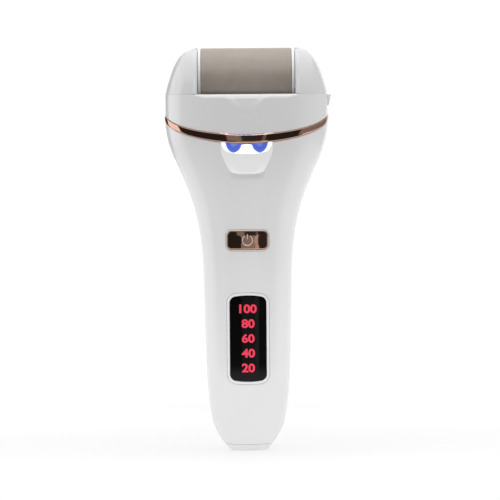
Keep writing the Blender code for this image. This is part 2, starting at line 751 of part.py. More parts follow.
def make_roller(mineral, white, nylon, steel, shell):
    """Coated sleeve, its inner core, the cap and the cog in its ends, the axle and its two carriers."""
    centre = (0.0, ROLLER_Z)
    origin = (0.0, 0.0, ROLLER_Z)
    inner = ROLLER_R - SLEEVE_WALL
    edge = 0.5
    sleeve_profile = (
        (-ROLLER_HALF, inner), (-ROLLER_HALF, ROLLER_R - edge), (-ROLLER_HALF + edge, ROLLER_R),
        (ROLLER_HALF - edge, ROLLER_R), (ROLLER_HALF, ROLLER_R - edge), (ROLLER_HALF, inner),
    )
    turned_hollow("roller_sleeve", sleeve_profile, "X", centre, mineral, 32, origin)
    core_r = inner - GAP
    core_x = END_DISC_X[0] - GAP
    core_profile = (
        (-core_x, BORE_R), (-core_x, core_r), (core_x, core_r), (core_x, core_r - CORE_WALL),
        (-core_x + 2.0, core_r - CORE_WALL), (-core_x + 2.0, BORE_R + CORE_WALL),
        (core_x, BORE_R + CORE_WALL), (core_x, BORE_R),
    )
    turned_hollow("roller_core", core_profile, "X", centre, white, 24, origin)
    plug, seat = END_DISC_X
    cap_profile = (
        (plug, BORE_R), (plug, core_r), (seat, core_r), (seat, FLANGE_R),
        (FLANGE_X, FLANGE_R), (FLANGE_X, BORE_R),
    )
    turned_hollow("roller_end_cap", cap_profile, "X", centre, white, 32, origin)
    cog = gear("roller_cog", COG_TEETH, ROLLER_Z, COG_X, nylon, None)
    hub_profile = (
        (HUB_END_X, HUB_R), (-FLANGE_X, HUB_R), (-FLANGE_X, FLANGE_R), (-seat, FLANGE_R),
        (-seat, core_r), (-plug, core_r),
    )
    join(cog, turned("hub", hub_profile, "X", centre, nylon, 32))
    cut(cog, rod("bore", BORE_R, -29.0, -15.0, "X", centre, nylon))
    axle = rod("roller_axle", AXLE_R, *AXLE_X, "X", centre, steel)
    for piece in (cog, axle, make_left_carrier(shell), make_right_carrier(shell)):
        set_origin(piece, origin)


def bearing_plate(name, x, look):
    """Plate between two x values that fills the axle slot and reaches above the arms."""
    return prism(name, slot_outline(CARRIER_HALF, ROLLER_Z, ABOVE), "X", *x, look)


def make_left_carrier(white):
    """Bearing of the driven end, with the hood that closes the pocket over the cog."""
    x = (-NOTCH_HALF - END_WALL + 0.1, -NOTCH_HALF)
    hood_low = ROLLER_Z + gear_tip(COG_TEETH) + 0.5
    carrier = bearing_plate("axle_carrier_left", x, white)
    hood = [
        (HOOD_X[0], -HOOD_HALF), (HOOD_X[1], -HOOD_HALF), (HOOD_X[1], -CARRIER_HALF), (x[1], -CARRIER_HALF),
        (x[1], CARRIER_HALF), (HOOD_X[1], CARRIER_HALF), (HOOD_X[1], HOOD_HALF), (HOOD_X[0], HOOD_HALF),
    ]
    join(carrier, prism("hood", hood, "Z", hood_low, ABOVE, white))
    keep_inside(carrier, arms_solid("room", white))
    return cut(carrier, rod("bore", HUB_R + GAP, x[0] - 1.0, x[1] + 1.0, "X", (0.0, ROLLER_Z), white, 16))


def make_right_carrier(white):
    """Bearing of the free end, which fills its slot up to the outer form."""
    x = (NOTCH_HALF, RIGHT_SLOT_X - GAP)
    carrier = bearing_plate("axle_carrier_right", x, white)
    keep_inside(carrier, arms_solid("room", white))
    return cut(carrier, rod("bore", BORE_R, x[0] - 1.0, x[1] + 1.0, "X", (0.0, ROLLER_Z), white, 16))


# ---------------------------------------------------------------- front fittings

def button_outline(grow=0.0):
    radius = 1.6 + grow / 2
    return rounded_outline(BUTTON_SIZE[0] + grow, BUTTON_SIZE[1] + grow, radius, (0.0, BUTTON_Z))


def display_outline(grow=0.0):
    radius = 2.3 + grow / 2
    size = (DISPLAY_SIZE[0] + grow, DISPLAY_SIZE[1] - 2 * DISPLAY_BULGE + grow)
    return rounded_outline(*size, radius, (0.0, DISPLAY_Z), DISPLAY_BULGE)


def lamp_outline(grow=0.0):
    """Lamp insert: wide under the ring, narrowing to a rounded lower end."""
    right = [(12.0 + grow, LAMP_TOP), (11.9 + grow, 138.4), (11.0 + grow, 135.2), (8.3 + grow, 129.2)]
    lower = [
        ((8.3 + grow) * cos(turn), 129.2 - (2.1 + grow) * sin(turn))
        for turn in (radians(degrees) for degrees in (25, 45, 68, 90))
    ]
    half = right + lower
    return half + [(-x, z) for x, z in reversed(half[:-1])]


def inlay(name, outline, band, look, hole=None):
    """Piece that follows the curved front between two insets, with the given front outline."""
    piece = prism(name, outline, "Y", -30.0, -6.0, look)
    keep_inside(piece, form_band("layer", *band, look))
    if hole:
        cut(piece, prism("hole", hole, "Y", -31.0, -5.0, look))
    return piece


def make_power_button(copper, peach, white, black):
    """Pressed cap with its rim, and the switch that it works."""
    centre = (0.0, BUTTON_Z)
    band = (BUTTON_Z - 9.0, BUTTON_Z + 9.0)
    cap = inlay("power_button", button_outline(), (*band, -BUTTON_PROUD, 1.9), copper)
    join(cap, rod("post", BUTTON_POST_R, *BUTTON_POST_Y, "Y", centre, copper, 12))
    rim = button_outline(2 * BUTTON_RIM)
    inlay("button_bezel", rim, (*band, -0.1, 2.0), peach, button_outline(2 * GAP))
    height = (BUTTON_Z - SWITCH_HALF, BUTTON_Z + SWITCH_HALF)
    body = block("power_switch", (-SWITCH_HALF, SWITCH_HALF), (SWITCH_Y, BOARD_Y[0] - GAP), height, black)
    cut(body, rod("well", PLUNGER_R + GAP, SWITCH_Y - 1.0, -9.6, "Y", centre, black, 12))
    rod("switch_plunger", PLUNGER_R, *PLUNGER_Y, "Y", centre, white, 12)


def make_display(glass, white, black, green):
    """Dark window with its raised rim, and the mask and board behind it."""
    band = (DISPLAY_Z - 25.0, DISPLAY_Z + 25.0)
    inlay("display_window", display_outline(), (*band, 0.0, 1.6), glass)
    rim = display_outline(2 * DISPLAY_RIM)
    inlay("display_bezel", rim, (*band, -0.1, 2.0), white, display_outline(2 * GAP))
    across = (-MASK_HALF[0], MASK_HALF[0])
    height = (DISPLAY_Z - MASK_HALF[1], DISPLAY_Z + MASK_HALF[1])
    mask = block("display_mask", across, MASK_Y, height, black)
    for k in range(-2, 3):
        middle = DISPLAY_Z + FIGURE_PITCH * k
        window = (middle - FIGURE_HALF[1], middle + FIGURE_HALF[1])
        cut(mask, block("light_window", (-FIGURE_HALF[0], FIGURE_HALF[0]), (-15.0, -10.0), window, black))
    block("display_board", across, DISPLAY_BOARD_Y, height, green)


def make_lamp(white, clear, green, lit):
    """Insert under the ring with a clear lens, a dished reflector below it and three diodes behind."""
    band = (120.0, 150.0)
    skin, back = 0.05, 5.0

    def profile(angle):
        top = ring_low(angle) - GAP
        return (
            (band[0], skin), (128.0, skin), (134.0, skin), (top, skin), (top, back), (128.0, back),
            (band[0], back),
        )

    insert = prism("lamp_insert", lamp_outline(), "Y", -30.0, -6.0, white)
    keep_inside(insert, finish("layer", sweep_form(profile, pi, pi, AROUND // 2, -GAP), white))
    lens_half = LENS_HALF + GAP
    opening = rounded_outline(2 * lens_half, LENS_Z[1] - LENS_Z[0] + 2 * GAP, 1.6, (0.0, sum(LENS_Z) / 2))
    cut(insert, prism("lens_opening", opening, "Y", -30.0, -10.0, white))
    turns = [tau * k / 24 for k in range(24)]
    dish = [
        [Vector((r * DISH_SIZE[0] * cos(turn), y, DISH_Z + r * DISH_SIZE[1] * sin(turn))) for turn in turns]
        for y, r in DISH_DEPTHS
    ]
    cut(insert, finish("dish", loft(dish), white))
    outline = rounded_outline(2 * LENS_HALF, LENS_Z[1] - LENS_Z[0], 1.4, (0.0, sum(LENS_Z) / 2))
    inlay("lamp_lens", outline, (*band, 0.15, 1.7), clear)
    block("lamp_board", (-9.5, 9.5), LAMP_BOARD_Y, (134.6, 141.0), green)
    half, z_half = LAMP_LED_SIZE[0] / 2, LAMP_LED_SIZE[1] / 2
    for number, x in enumerate(LAMP_LED_X, 1):
        z = (LAMP_LED_Z - z_half, LAMP_LED_Z + z_half)
        block(f"lamp_led_{number}", (x - half, x + half), LAMP_LED_Y, z, lit)


# ---------------------------------------------------------------- electronics

def make_electronics(green, black, steel, nickel, sleeve):
    """Battery with its tabs, the boards with their chips, and the charging socket in the lower end."""
    block("main_board", MAIN_BOARD[0], BOARD_Y, MAIN_BOARD[1], green)
    for name, (x, y, z) in (("motor_driver_chip", DRIVER_CHIP), ("charge_chip", CHARGE_CHIP)):
        block(name, x, (y, BOARD_Y[0] - GAP), z, black)
    low, high = BATTERY_Z
    edge_r = BATTERY_R - BATTERY_EDGE
    profile = (
        (low, edge_r), (low + BATTERY_EDGE, BATTERY_R), (high - BATTERY_EDGE, BATTERY_R), (high, edge_r),
    )
    turned("battery_cell", profile, "Z", (0.0, BATTERY_Y), sleeve, 24)
    make_tab("battery_tab_upper", high, 1, nickel)
    make_tab("battery_tab_lower", low, -1, nickel)
    socket = prism("charge_socket", rounded_outline(*SOCKET_SIZE, 1.5), "Z", *SOCKET_Z, steel)
    inner_size = [size - 2 * SOCKET_WALL for size in SOCKET_SIZE]
    inner = rounded_outline(*inner_size, 1.5 - SOCKET_WALL)
    cut(socket, prism("inside", inner, "Z", SOCKET_Z[0] - 1.0, SOCKET_Z[1] - 0.6, steel))
    tongue_x, tongue_y = ((-half, half) for half in TONGUE_HALF)
    block("socket_tongue", tongue_x, tongue_y, (SOCKET_Z[0] + 0.7, SOCKET_Z[1] - 0.9), black)
    block("charge_board", *CHARGE_BOARD, green)


def make_tab(name, end, side, look):
    """Nickel strip from one end of the cell, bent along the main board; side is +1 at the upper end."""
    near = end + side * GAP
    far = near + side * TAB_THICK
    leg = end - side * TAB_LEG
    board, inner = BOARD_Y[1] + GAP, BOARD_Y[1] + GAP + TAB_THICK
    outline = (
        (TAB_REACH_Y, far), (board, far), (board, leg), (inner, leg), (inner, near), (TAB_REACH_Y, near),
    )
    prism(name, outline, "X", -TAB_HALF, TAB_HALF, look)


def make_screws(steel):
    for number, at in enumerate(SHELL_SCREWS, 1):
        turned(f"shell_screw_{number}", SHELL_SCREW_PROFILE, "Y", at, steel, 10)
    for number, at in enumerate(HEAD_SCREWS, 1):
        turned(f"head_screw_{number}", HEAD_SCREW_PROFILE, "Z", at, steel, 10)


# ---------------------------------------------------------------- whole object

def main():
    for obj in list(bpy.data.objects):
        bpy.data.objects.remove(obj)
    white = material("white_shell", (0.83, 0.83, 0.84), 0.32)
    inner_white = material("white_frame", (0.78, 0.78, 0.79), 0.4)
    copper = material("rose_gold", (0.62, 0.36, 0.25), 0.14, 1.0)
    peach = material("rose_gold_edge", (0.83, 0.62, 0.5), 0.25, 1.0)
    mineral = material("mineral_coating", (0.27, 0.23, 0.19), 0.85)
    glass = material("display_black", (0.006, 0.006, 0.006), 0.12)
    clear = material("lamp_clear", (0.9, 0.93, 1.0), 0.05, 0.0, 0.8)
    lit = material("lamp_led", (0.35, 0.45, 0.95), 0.3)
    steel = material("steel", (0.55, 0.56, 0.58), 0.3, 1.0)
    nickel = material("nickel", (0.62, 0.6, 0.55), 0.35, 1.0)
    brass = material("brass", (0.7, 0.52, 0.25), 0.3, 1.0)
    winding = material("copper_winding", (0.6, 0.3, 0.15), 0.35, 1.0)
    magnet = material("magnet", (0.06, 0.06, 0.065), 0.6)
    nylon = material("nylon", (0.72, 0.71, 0.66), 0.45)
    black = material("black_plastic", (0.02, 0.02, 0.022), 0.45)
    green = material("circuit_board", (0.02, 0.12, 0.05), 0.45)
    sleeve = material("battery_sleeve", (0.05, 0.2, 0.5), 0.35)
    rubber = material("rubber", (0.05, 0.05, 0.05), 0.8)
    make_base_cap(white)
    make_front_shell(white)
    make_rear_shell(white)
    make_trim_ring(copper)
    make_head_housing(white)
    make_roller_cradle(white)
    make_release_catch(white, steel)
    make_roller(mineral, inner_white, nylon, steel, white)
    make_gear_train(nylon, steel, brass)
    make_motor(steel, black, winding, magnet)
    make_motor_saddles(rubber)
    make_power_button(copper, peach, inner_white, black)
    make_display(glass, white, black, green)
    make_lamp(white, clear, green, lit)
    make_electronics(green, black, steel, nickel, sleeve)
    make_screws(steel)


main()
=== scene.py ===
"""Looks of the electric callus remover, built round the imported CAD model.

Lengths are in millimetres, as in the CAD source, and MM turns them into metres when a mesh is made.
"""

from math import atan2, copysign, cos, pi, radians, sin, sqrt, tau

import bmesh
import bpy
import numpy as np
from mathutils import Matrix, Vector


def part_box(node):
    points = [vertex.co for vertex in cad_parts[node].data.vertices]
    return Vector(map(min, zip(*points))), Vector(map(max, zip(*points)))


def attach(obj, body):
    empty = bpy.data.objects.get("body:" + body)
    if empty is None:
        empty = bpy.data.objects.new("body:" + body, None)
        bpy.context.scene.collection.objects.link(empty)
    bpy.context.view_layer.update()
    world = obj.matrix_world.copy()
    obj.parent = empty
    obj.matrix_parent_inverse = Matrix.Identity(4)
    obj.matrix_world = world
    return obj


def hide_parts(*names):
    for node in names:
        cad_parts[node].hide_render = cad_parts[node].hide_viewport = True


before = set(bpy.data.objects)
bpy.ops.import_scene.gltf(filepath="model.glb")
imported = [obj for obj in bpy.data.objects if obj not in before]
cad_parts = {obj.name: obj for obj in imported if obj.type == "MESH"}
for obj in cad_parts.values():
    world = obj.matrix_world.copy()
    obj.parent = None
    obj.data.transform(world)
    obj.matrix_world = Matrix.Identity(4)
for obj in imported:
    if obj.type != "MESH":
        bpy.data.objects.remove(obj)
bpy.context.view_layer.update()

MM = 0.001


def box_mm(node):
    """Lowest and highest corner of a CAD node in millimetres."""
    low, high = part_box(node)
    return np.array(low) / MM, np.array(high) / MM


# ---- outer form, as in the CAD source

FORM = (
    (0.0, 8.6, 7.8), (2.5, 10.7, 9.5), (5.0, 12.6, 11.0), (8.5, 14.6, 12.7), (13.5, 16.6, 14.3),
    (22.0, 18.0, 15.6), (36.0, 19.2, 16.7), (60.0, 19.9, 17.3), (85.0, 20.5, 17.8), (98.0, 21.6, 18.4),
    (108.0, 23.4, 19.3), (118.0, 26.4, 20.6), (128.0, 30.5, 22.0), (136.0, 34.1, 23.0),
    (143.0, 36.3, 23.6), (150.0, 37.3, 23.9), (163.2, 37.3, 23.2),
)
ARM_FORM = (
    (163.5, 37.25, 23.15), (166.5, 36.5, 22.2), (170.5, 35.3, 20.8), (174.5, 33.9, 18.9),
    (178.0, 32.3, 16.6), (181.0, 30.3, 13.9), (183.2, 27.8, 10.9), (184.5, 24.8, 8.2),
)
POWER = 2.4
MODULE = 0.8
WALL = 2.2
HOUSING_WALL = 3.6
SEAM = 0.11
ROUND = 0.22


def curve_through(stations, column):
    """Function of height that passes smoothly through one column of the stations."""
    heights = np.array([row[0] for row in stations])
    values = np.array([row[column] for row in stations])
    steps = np.diff(values) / np.diff(heights)
    inner = [0.0 if a * b <= 0 else 2 * a * b / (a + b) for a, b in zip(steps, steps[1:])]
    slopes = np.array([steps[0], *inner, steps[-1]])

    def value_at(z):
        z = np.clip(z, heights[0], heights[-1])
        i = np.clip(np.searchsorted(heights, z, side="right") - 1, 0, len(heights) - 2)
        span = heights[i + 1] - heights[i]
        t = (z - heights[i]) / span
        return (
            values[i] * (2 * t**3 - 3 * t**2 + 1)
            + slopes[i] * span * (t**3 - 2 * t**2 + t)
            + values[i + 1] * (3 * t**2 - 2 * t**3)
            + slopes[i + 1] * span * (t**3 - t**2)
        )

    return value_at


BODY = (curve_through(FORM, 1), curve_through(FORM, 2))
ARMS = (curve_through(ARM_FORM, 1), curve_through(ARM_FORM, 2))


def squared(value, power=POWER):
    """A cosine or sine reshaped so that the circle it belongs to becomes a superellipse."""
    return np.copysign(np.abs(value) ** (2 / power), value)


def form_points(angle, z, inset=0.0, form=BODY):
    """Points on the outer form at angles about Z, drawn in by the inset."""
    angle, z, inset = np.broadcast_arrays(np.asarray(angle, float), z, inset)
    x = (form[0](z) - inset) * squared(np.cos(angle))
    y = (form[1](z) - inset) * squared(np.sin(angle))
    return np.stack([x, y, z], -1)


def across_form(value, z, inset, given, sought):
    """Distance from the middle to the form's surface, where the other coordinate is the given value."""
    share = np.clip(np.abs(value) / (given(z) - inset), 0.0, 1.0)
    return (sought(z) - inset) * (1.0 - share**POWER) ** (1 / POWER)


def front_points(x, z, inset=0.0):
    """Points on the front half of the form at the given x and z."""
    x, z, inset = np.broadcast_arrays(np.asarray(x, float), z, inset)
    return np.stack([x, -across_form(x, z, inset, *BODY), z], -1)


def side_points(side, y, z, inset):
    """Points on the left (-1) or right (1) of the form at the given y and z."""
    y, z, inset = np.broadcast_arrays(np.asarray(y, float), z, inset)
    return np.stack([side * across_form(y, z, inset, *BODY[::-1]), y, z], -1)


def arch_height(angle, side, sag):
    """Height of an arch that is at side beside the handle and lower by sag at its front and back."""
    soft = 0.12
    across = np.abs(np.cos(angle)) ** (2 / POWER)
    rise = np.sqrt(1.0 - across * across + soft**2) - soft
    return side - sag * rise / (sqrt(1.0 + soft**2) - soft)


def ring_low(angle):
    return arch_height(angle, 151.6, 10.6)


def ring_high(angle):
    return arch_height(angle, 153.9, 9.0)


# ---- materials

class Look:
    """Material under construction: its node tree, with the shader's sockets set by name."""

    def __init__(self, name, **sockets):
        self.made = bpy.data.materials.new(name)
        self.made.use_nodes = True
        self.tree = self.made.node_tree
        self.shader = self.tree.nodes["Principled BSDF"]
        self.place = self.node("TexCoord").outputs["Object"]
        for socket, value in sockets.items():
            self.set(socket, value)

    def node(self, kind, **sockets):
        """New shader node whose sockets, written with _ for a space, get values or links."""
        made = self.tree.nodes.new("ShaderNode" + kind)
        for socket, value in sockets.items():
            self.feed(made.inputs[socket.replace("_", " ")], value)
        return made

    def feed(self, socket, value):
        if isinstance(value, bpy.types.NodeSocket):
            self.tree.links.new(value, socket)
        else:
            socket.default_value = value

    def set(self, socket, value):
        self.feed(self.shader.inputs[socket.replace("_", " ")], value)

    def noise(self, scale, detail=3.0, rough=0.5, stretch=None):
        place = self.place
        if stretch:
            place = self.node("Mapping", Scale=stretch, Vector=place).outputs["Vector"]
        made = self.node("TexNoise", Scale=scale, Detail=detail, Roughness=rough, Vector=place)
        return made.outputs["Fac"]

    def ramp(self, fac, stops):
        made = self.node("ValToRGB", Fac=fac)
        elements = made.color_ramp.elements
        while len(elements) < len(stops):
            elements.new(0.5)
        for element, (position, colour) in zip(elements, stops):
            element.position = position
            element.color = (*colour, 1.0)
        return made.outputs["Color"]

    def spread(self, fac, low, high):
        sockets = {"From Min": 0.3, "From Max": 0.7, "To Min": low, "To Max": high, "Value": fac}
        return self.node("MapRange", **sockets).outputs["Result"]

    def maths(self, operation, *values):
        made = self.node("Math")
        made.operation = operation
        for socket, value in zip(made.inputs, values):
            self.feed(socket, value)
        return made.outputs[0]

    def bump(self, height, distance, strength):
        made = self.node("Bump", Distance=distance, Strength=strength, Height=height)
        self.set("Normal", made.outputs["Normal"])


def shade(colour, share):
    return tuple(min(1.0, c * share) for c in colour)


def moulded(name, colour, roughness, grain=1800.0, depth=0.000004, strength=0.1, variation=0.02, metallic=0.0,
            coat=0.0, stretch=None, specular=0.5, gloss_drift=0.15, glow=0.0):
    """Moulded or machined surface: slight drift of colour, uneven gloss and a fine grain. Glow makes the
    surface give off its own colour, which the lamp scoop uses as painted light.
    """
    look = Look(name, Metallic=metallic, Coat_Weight=coat, Coat_Roughness=0.06, Specular_IOR_Level=specular,
                Emission_Color=(*colour, 1.0), Emission_Strength=glow)
    colours = ((0.3, shade(colour, 1.0 - variation)), (0.7, shade(colour, 1.0 + variation)))
    look.set("Base Color", look.ramp(look.noise(70.0, 4.0), colours))
    low, high = roughness * (1.0 - gloss_drift), roughness * (1.0 + gloss_drift)
    look.set("Roughness", look.spread(look.noise(260.0, 5.0, 0.6), low, high))
    look.bump(look.noise(grain, 2.0, 0.5, stretch), depth, strength)
    return look.made


def mineral_look():
    """Fused mineral grit: soft brown-grey mottling, faint bands round the roller and fine hard grains."""
    look = Look("mineral_grit", Specular_IOR_Level=0.75)
    cloud = look.noise(150.0, 5.0, 0.55)
    bands = look.noise(420.0, 2.0, 0.5, (1.0, 0.03, 0.03))
    grains = look.node("TexVoronoi", Scale=2600.0, Vector=look.place).outputs["Distance"]
    total = look.maths("MULTIPLY_ADD", bands, 0.2, cloud)
    total = look.maths("MULTIPLY_ADD", grains, 0.16, total)
    stops = ((0.4, (0.332, 0.288, 0.242)), (0.7, (0.364, 0.317, 0.27)), (0.95, (0.4, 0.35, 0.302)))
    look.set("Base Color", look.ramp(total, stops))
    look.set("Roughness", look.spread(cloud, 0.4, 0.5))
    look.bump(grains, 0.00008, 0.4)
    return look.made


def board_look():
    """Green solder mask with copper traces running under it."""
    look = Look("circuit_green")
    greens = ((0.012, 0.1, 0.04, 1.0), (0.016, 0.125, 0.05, 1.0), (0.05, 0.23, 0.1, 1.0))
    bricks = look.node("TexBrick", Scale=420.0, Mortar_Size=0.03, Vector=look.place, Color1=greens[0],
                       Color2=greens[1], Mortar=greens[2])
    look.set("Base Color", bricks.outputs["Color"])
    look.set("Roughness", look.spread(look.noise(900.0), 0.3, 0.45))
    look.bump(bricks.outputs["Fac"], 0.00003, 0.4)
    return look.made


def glowing(name, colour, light, strength):
    """Lit part: its own colour with an uneven glow."""
    look = Look(name, Emission_Strength=strength, Roughness=0.35)
    uneven = look.noise(900.0)
    look.set("Emission Color", look.ramp(uneven, ((0.3, shade(light, 0.86)), (0.7, light))))
    look.set("Base Color", look.ramp(uneven, ((0.3, shade(colour, 0.9)), (0.7, colour))))
    return look.made


# Middle and radii of the lamp's two blue lobes, and the height from which they run into one, over what rise.
LOBE_X, LOBE_Z = 5.9, 141.6
LOBE_RADIUS = (3.9, 5.2)
LOBES_JOIN = (140.3, 0.7)


def lens_look():
    """Lit lamp cover: two blue lobes that join at the top, white between them and round the edge."""
    look = Look("lamp_cover", Emission_Strength=0.85, Roughness=0.12)
    maths = look.maths
    parts = look.node("SeparateXYZ", Vector=look.place).outputs
    across = maths("SUBTRACT", maths("ABSOLUTE", parts["X"]), LOBE_X * MM)
    across = maths("DIVIDE", across, LOBE_RADIUS[0] * MM)
    climb = maths("DIVIDE", maths("SUBTRACT", parts["Z"], LOBES_JOIN[0] * MM), LOBES_JOIN[1] * MM)
    apart = maths("SUBTRACT", 1.0, maths("MINIMUM", maths("MAXIMUM", climb, 0.0), 1.0))
    inner = maths("MULTIPLY", maths("MINIMUM", across, 0.0), apart)
    across = maths("ADD", maths("MAXIMUM", across, 0.0), inner)
    up = maths("DIVIDE", maths("SUBTRACT", parts["Z"], LOBE_Z * MM), LOBE_RADIUS[1] * MM)
    away = maths("SQRT", maths("ADD", maths("MULTIPLY", across, across), maths("MULTIPLY", up, up)))
    cloud = maths("MULTIPLY", maths("SUBTRACT", look.noise(500.0), 0.5), 0.12)
    stops = (
        (0.2, (0.14, 0.165, 0.39)), (0.55, (0.042, 0.08, 0.43)), (0.88, (0.075, 0.11, 0.43)),
        (1.02, (0.9, 0.94, 1.0)),
    )
    light = look.ramp(maths("ADD", away, cloud), stops)
    look.set("Emission Color", light)
    look.set("Base Color", light)
    return look.made


def shell_white(name, colour, roughness=0.22):
    """Even gloss white of the outer mouldings."""
    return moulded(name, colour, roughness, variation=0.004, gloss_drift=0.05, coat=0.3)


LOOKS = {
    "shell": shell_white("gloss_white", (0.83, 0.83, 0.84), 0.24),
    "shell_head": shell_white("gloss_white_head", (0.82, 0.82, 0.825)),
    # Darker copy of the gloss white for the arms and axle carriers: painted shade that makes the arms greyer
    # than the head's white, though they are the same moulding.
    "cradle_white_painted_shade": shell_white("gloss_white_cradle_painted_shade", (0.72, 0.72, 0.725)),
    "frame_white": moulded("inner_white", (0.88, 0.88, 0.88), 0.3, variation=0.006, gloss_drift=0.08),
    "copper": moulded("rose_gold", (0.6, 0.36, 0.27), 0.06, 900.0, strength=0.06, variation=0.03,
                      metallic=1.0),
    "peach": moulded("rose_gold_edge", (0.92, 0.82, 0.75), 0.3, metallic=0.3),
    "mineral": mineral_look(),
    "glass": moulded("display_black", (0.003,) * 3, 0.1, depth=0.000003, variation=0.2, specular=0.2),
    "black": moulded("black_plastic", (0.022, 0.022, 0.024), 0.42, 2600.0, 0.00002, variation=0.12),
    "steel": moulded("steel", (0.56, 0.565, 0.58), 0.26, 700.0, 0.00001, 0.25, 0.05, 1.0,
                     stretch=(0.05, 1.0, 1.0)),
    "nickel": moulded("nickel_plate", (0.66, 0.64, 0.6), 0.2, variation=0.05, metallic=1.0),
    "brass": moulded("brass", (0.72, 0.54, 0.25), 0.26, variation=0.06, metallic=1.0),
    "winding": moulded("copper_winding", (0.7, 0.28, 0.12), 0.3, 2400.0, 0.00012, 0.8, 0.12, 0.9,
                       stretch=(1.0, 0.04, 0.04)),
    "magnet": moulded("magnet", (0.06, 0.06, 0.065), 0.5, 3000.0, variation=0.15, metallic=0.4),
    "nylon": moulded("nylon", (0.74, 0.72, 0.66), 0.45, 1500.0, 0.00002, variation=0.03),
    "board": board_look(),
    "sleeve": moulded("battery_sleeve", (0.03, 0.16, 0.45), 0.3, 1100.0, 0.00001, variation=0.05),
    "rubber": moulded("rubber", (0.045, 0.045, 0.048), 0.78, 3200.0, 0.00003, 0.6, 0.1),
    "led": glowing("lamp_diode", (0.8, 0.85, 1.0), (0.75, 0.85, 1.0), 1.6),
    "lens": lens_look(),
    # Lamp scoop: whiter than the shell and glowing faintly, painted light that stands in for the lamp's light
    # falling on the dish under it.
    "scoop": moulded("lamp_scoop_painted_lamp_glow", (0.88,) * 3, 0.3, variation=0.004, gloss_drift=0.05, glow=0.12),
    "digits": glowing("display_red", (0.6, 0.02, 0.05), (0.72, 0.03, 0.08), 0.6),
    "icon": moulded("icon_bright", (0.88, 0.74, 0.66), 0.22, variation=0.05, metallic=0.6),
}


# ---- mesh tools

def grid_faces(rows, columns, wrap_rows=False, wrap_columns=False, start=0):
    """Quads between neighbouring rows and columns of a grid of points."""
    i = np.arange(rows if wrap_rows else rows - 1)
    j = np.arange(columns if wrap_columns else columns - 1)
    i, j = np.meshgrid(i, j, indexing="ij")
    i2, j2 = (i + 1) % rows, (j + 1) % columns
    quads = np.stack([i * columns + j, i * columns + j2, i2 * columns + j2, i2 * columns + j], -1)
    return (quads.reshape(-1, 4) + start).tolist()


def mesh_object(name, points, faces, look, sharp=30.0):
    """Object from points in millimetres, with its faces turned outwards."""
    mesh = bpy.data.meshes.new(name)
    mesh.from_pydata((np.asarray(points, float).reshape(-1, 3) * MM).tolist(), [], faces)
    bm = bmesh.new()
    bm.from_mesh(mesh)
    bmesh.ops.recalc_face_normals(bm, faces=bm.faces)
    bm.to_mesh(mesh)
    bm.free()
    made = add_to_scene(bpy.data.objects.new(name, mesh))
    mesh.materials.append(LOOKS[look])
    smooth(made, sharp)
    return made


def add_to_scene(obj):
    bpy.context.scene.collection.objects.link(obj)
    return obj


def smooth(obj, sharp):
    """Smooth shading, with edges past the sharp angle in degrees left hard."""
    obj.data.shade_smooth()
    obj.data.set_sharp_from_angle(angle=radians(sharp))


def place(obj, body, slot, *nodes):
    """Puts a piece on its body and hides the CAD nodes that it stands for; the slot, the name of its finish,
    is not used.
    """
    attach(obj, body)
    if nodes:
        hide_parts(*nodes)


def combine(target, tool, operation="DIFFERENCE", sharp=30.0):
    """Cuts, joins or intersects the target with a tool, which is then removed."""
    step = target.modifiers.new("Combine", "BOOLEAN")
    step.operation = operation
    step.solver = "EXACT"
    step.object = tool
    settle(target)
    bpy.data.objects.remove(tool)
    smooth(target, sharp)


def settle(obj):
    """Applies the object's modifiers."""
    bpy.context.view_layer.update()
    evaluated = obj.evaluated_get(bpy.context.evaluated_depsgraph_get())
    mesh = bpy.data.meshes.new_from_object(evaluated)
    obj.modifiers.clear()
    obj.data = mesh
    mesh.name = obj.name


def soften(obj, width):
    """Rounds the object's sharp edges by the width in millimetres."""
    step = obj.modifiers.new("Round", "BEVEL")
    step.width = width * MM
    step.segments = 2
    step.limit_method = "ANGLE"
    step.angle_limit = radians(35.0)
    settle(obj)
    smooth(obj, 30.0)


def closed_loft(name, rings, look, sharp=30.0, loop=False):
    """Closed body through rings of equal length."""
    rings = np.asarray(rings, float)
    count, around = rings.shape[:2]
    faces = grid_faces(count, around, loop, True)
    if not loop:
        faces.append(list(range(around))[::-1])
        faces.append([(count - 1) * around + k for k in range(around)])
    return mesh_object(name, rings, faces, look, sharp)


def cutter(rings):
    return closed_loft("cutter", rings, "black")


def turned(name, profile, axis, centre, look, sides=96, loop=False):
    """Revolved (along, radius) profile; a loop leaves a hole through the middle."""
    along, radius = np.array(profile, float).T
    turn = tau * np.arange(sides) / sides
    u = centre[0] + radius[:, None] * np.cos(turn)
    v = centre[1] + radius[:, None] * np.sin(turn)
    w = np.broadcast_to(along[:, None], u.shape)
    order = {"X": (w, u, v), "Y": (u, w, v), "Z": (u, v, w)}[axis]
    return closed_loft(name, np.stack(order, -1), look, loop=loop)


def arc(centre, radius, start, end, steps):
    """Points of an arc, with angles in degrees."""
    turns = np.radians(np.linspace(start, end, steps + 1))
    return [(centre[0] + radius * cos(t), centre[1] + radius * sin(t)) for t in turns]


OUTLINE_SPACING = 0.7
CORNER_STEPS = 10


